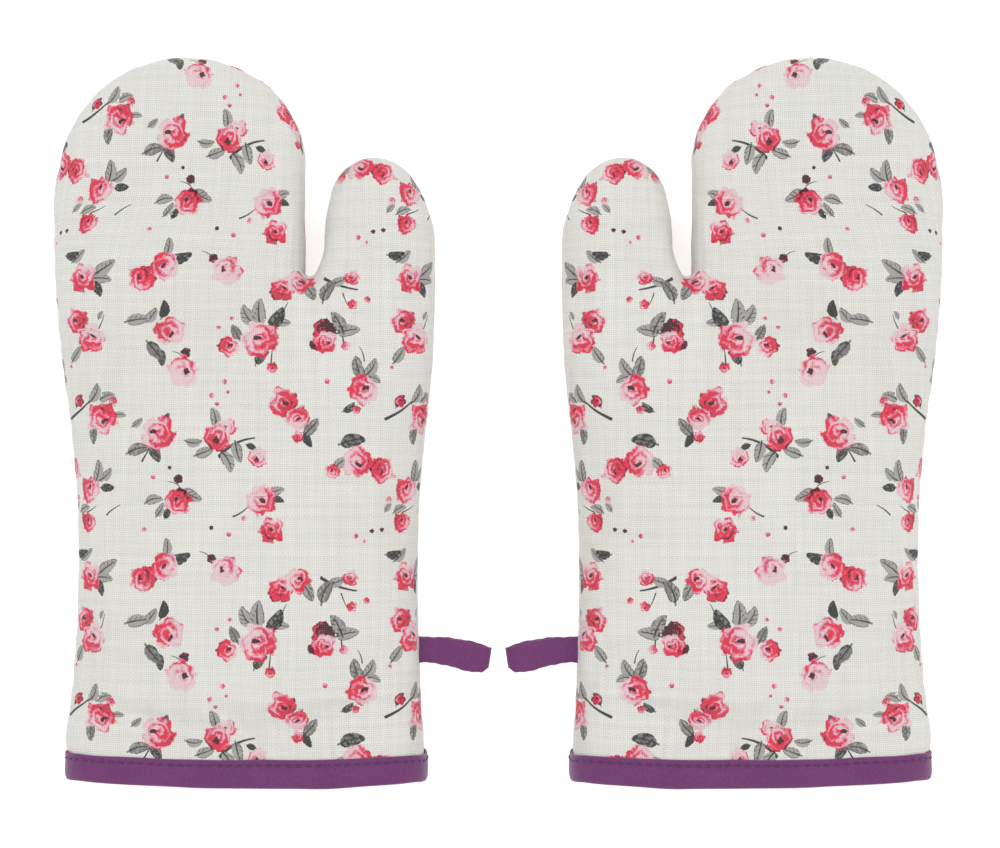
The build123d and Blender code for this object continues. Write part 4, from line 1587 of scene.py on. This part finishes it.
class MITT_OT_stage(bpy.types.Operator):
    """Makes the floor, the lights and the camera"""

    bl_idname = "mitt.stage"
    bl_label = "Studio"

    def execute(self, context):
        scene = context.scene
        studio = Sizes(scene.mitt_studio)
        mesh = bpy.data.meshes.new("floor")
        mesh.from_pydata([(-3, -3, 0), (3, -3, 0), (3, 3, 0), (-3, 3, 0)], [], [(0, 1, 2, 3)])
        paint = Nodes("floor")
        mesh.materials.append(
            paint.finish(
                Base_Color=tuple(studio.floor), Roughness=0.9, Specular_IOR_Level=0.1,
                Emission_Color=(1.0, 1.0, 1.0), Emission_Strength=0.42,
            )
        )
        floor = placed("floor", mesh)
        floor.location.z = -0.0002
        world = bpy.data.worlds.new("studio")
        world.use_nodes = True
        world.node_tree.nodes["Background"].inputs[0].default_value = (1, 1, 1, 1)
        world.node_tree.nodes["Background"].inputs[1].default_value = studio.sky
        scene.world = world
        for name, place, size, share_ in (
            ("key", (-0.35, 0.45, 1.7), 1.5, 1.0),
            ("fill", (0.9, -0.5, 1.3), 1.2, 0.35),
        ):
            light = bpy.data.lights.new(name, "AREA")
            light.size = size
            light.energy = studio.key_power * share_
            lamp = placed(name, light)
            lamp.location = place
            lamp.rotation_euler = (-Vector(place)).to_track_quat("-Z", "Y").to_euler()
        camera = bpy.data.cameras.new("camera")
        seam = 21 * MM
        camera.sensor_width = 36
        camera.lens = 36 * (studio.camera_height * MM - seam) / (studio.view_width * MM)
        eye = placed("camera", camera)
        eye.location = (0.0007, -0.002, studio.camera_height * MM)
        scene.camera = eye
        scene.view_settings.view_transform = "Standard"
        return {"FINISHED"}


OPERATORS = (
    MITT_OT_stage, MITT_OT_shells, MITT_OT_wadding, MITT_OT_lining,
    MITT_OT_binding, MITT_OT_stitches, MITT_OT_loops,
)


class MITT_PT_panel(bpy.types.Panel):
    """Lists the mitts' pieces"""

    bl_idname = "MITT_PT_panel"
    bl_label = "Oven mitts"
    bl_space_type = "VIEW_3D"
    bl_region_type = "UI"
    bl_category = "Mitts"

    def draw(self, context):
        for operator in OPERATORS:
            self.layout.operator(operator.bl_idname)


GROUPS = {
    "mitt_form": MittForm, "mitt_layers": MittLayers, "mitt_colours": MittColours, "mitt_studio": MittStudio,
}


def register():
    for item in (*GROUPS.values(), *OPERATORS, MITT_PT_panel):
        bpy.utils.register_class(item)
    for name, group in GROUPS.items():
        setattr(bpy.types.Scene, name, bpy.props.PointerProperty(type=group))


def unregister():
    for name in GROUPS:
        delattr(bpy.types.Scene, name)
    for item in reversed((*GROUPS.values(), *OPERATORS, MITT_PT_panel)):
        bpy.utils.unregister_class(item)


def main():
    """Registers the add-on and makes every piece."""
    register()
    for operator in OPERATORS:
        group, name = operator.bl_idname.split(".")
        getattr(getattr(bpy.ops, group), name)()


if __name__ == "__main__":
    main()
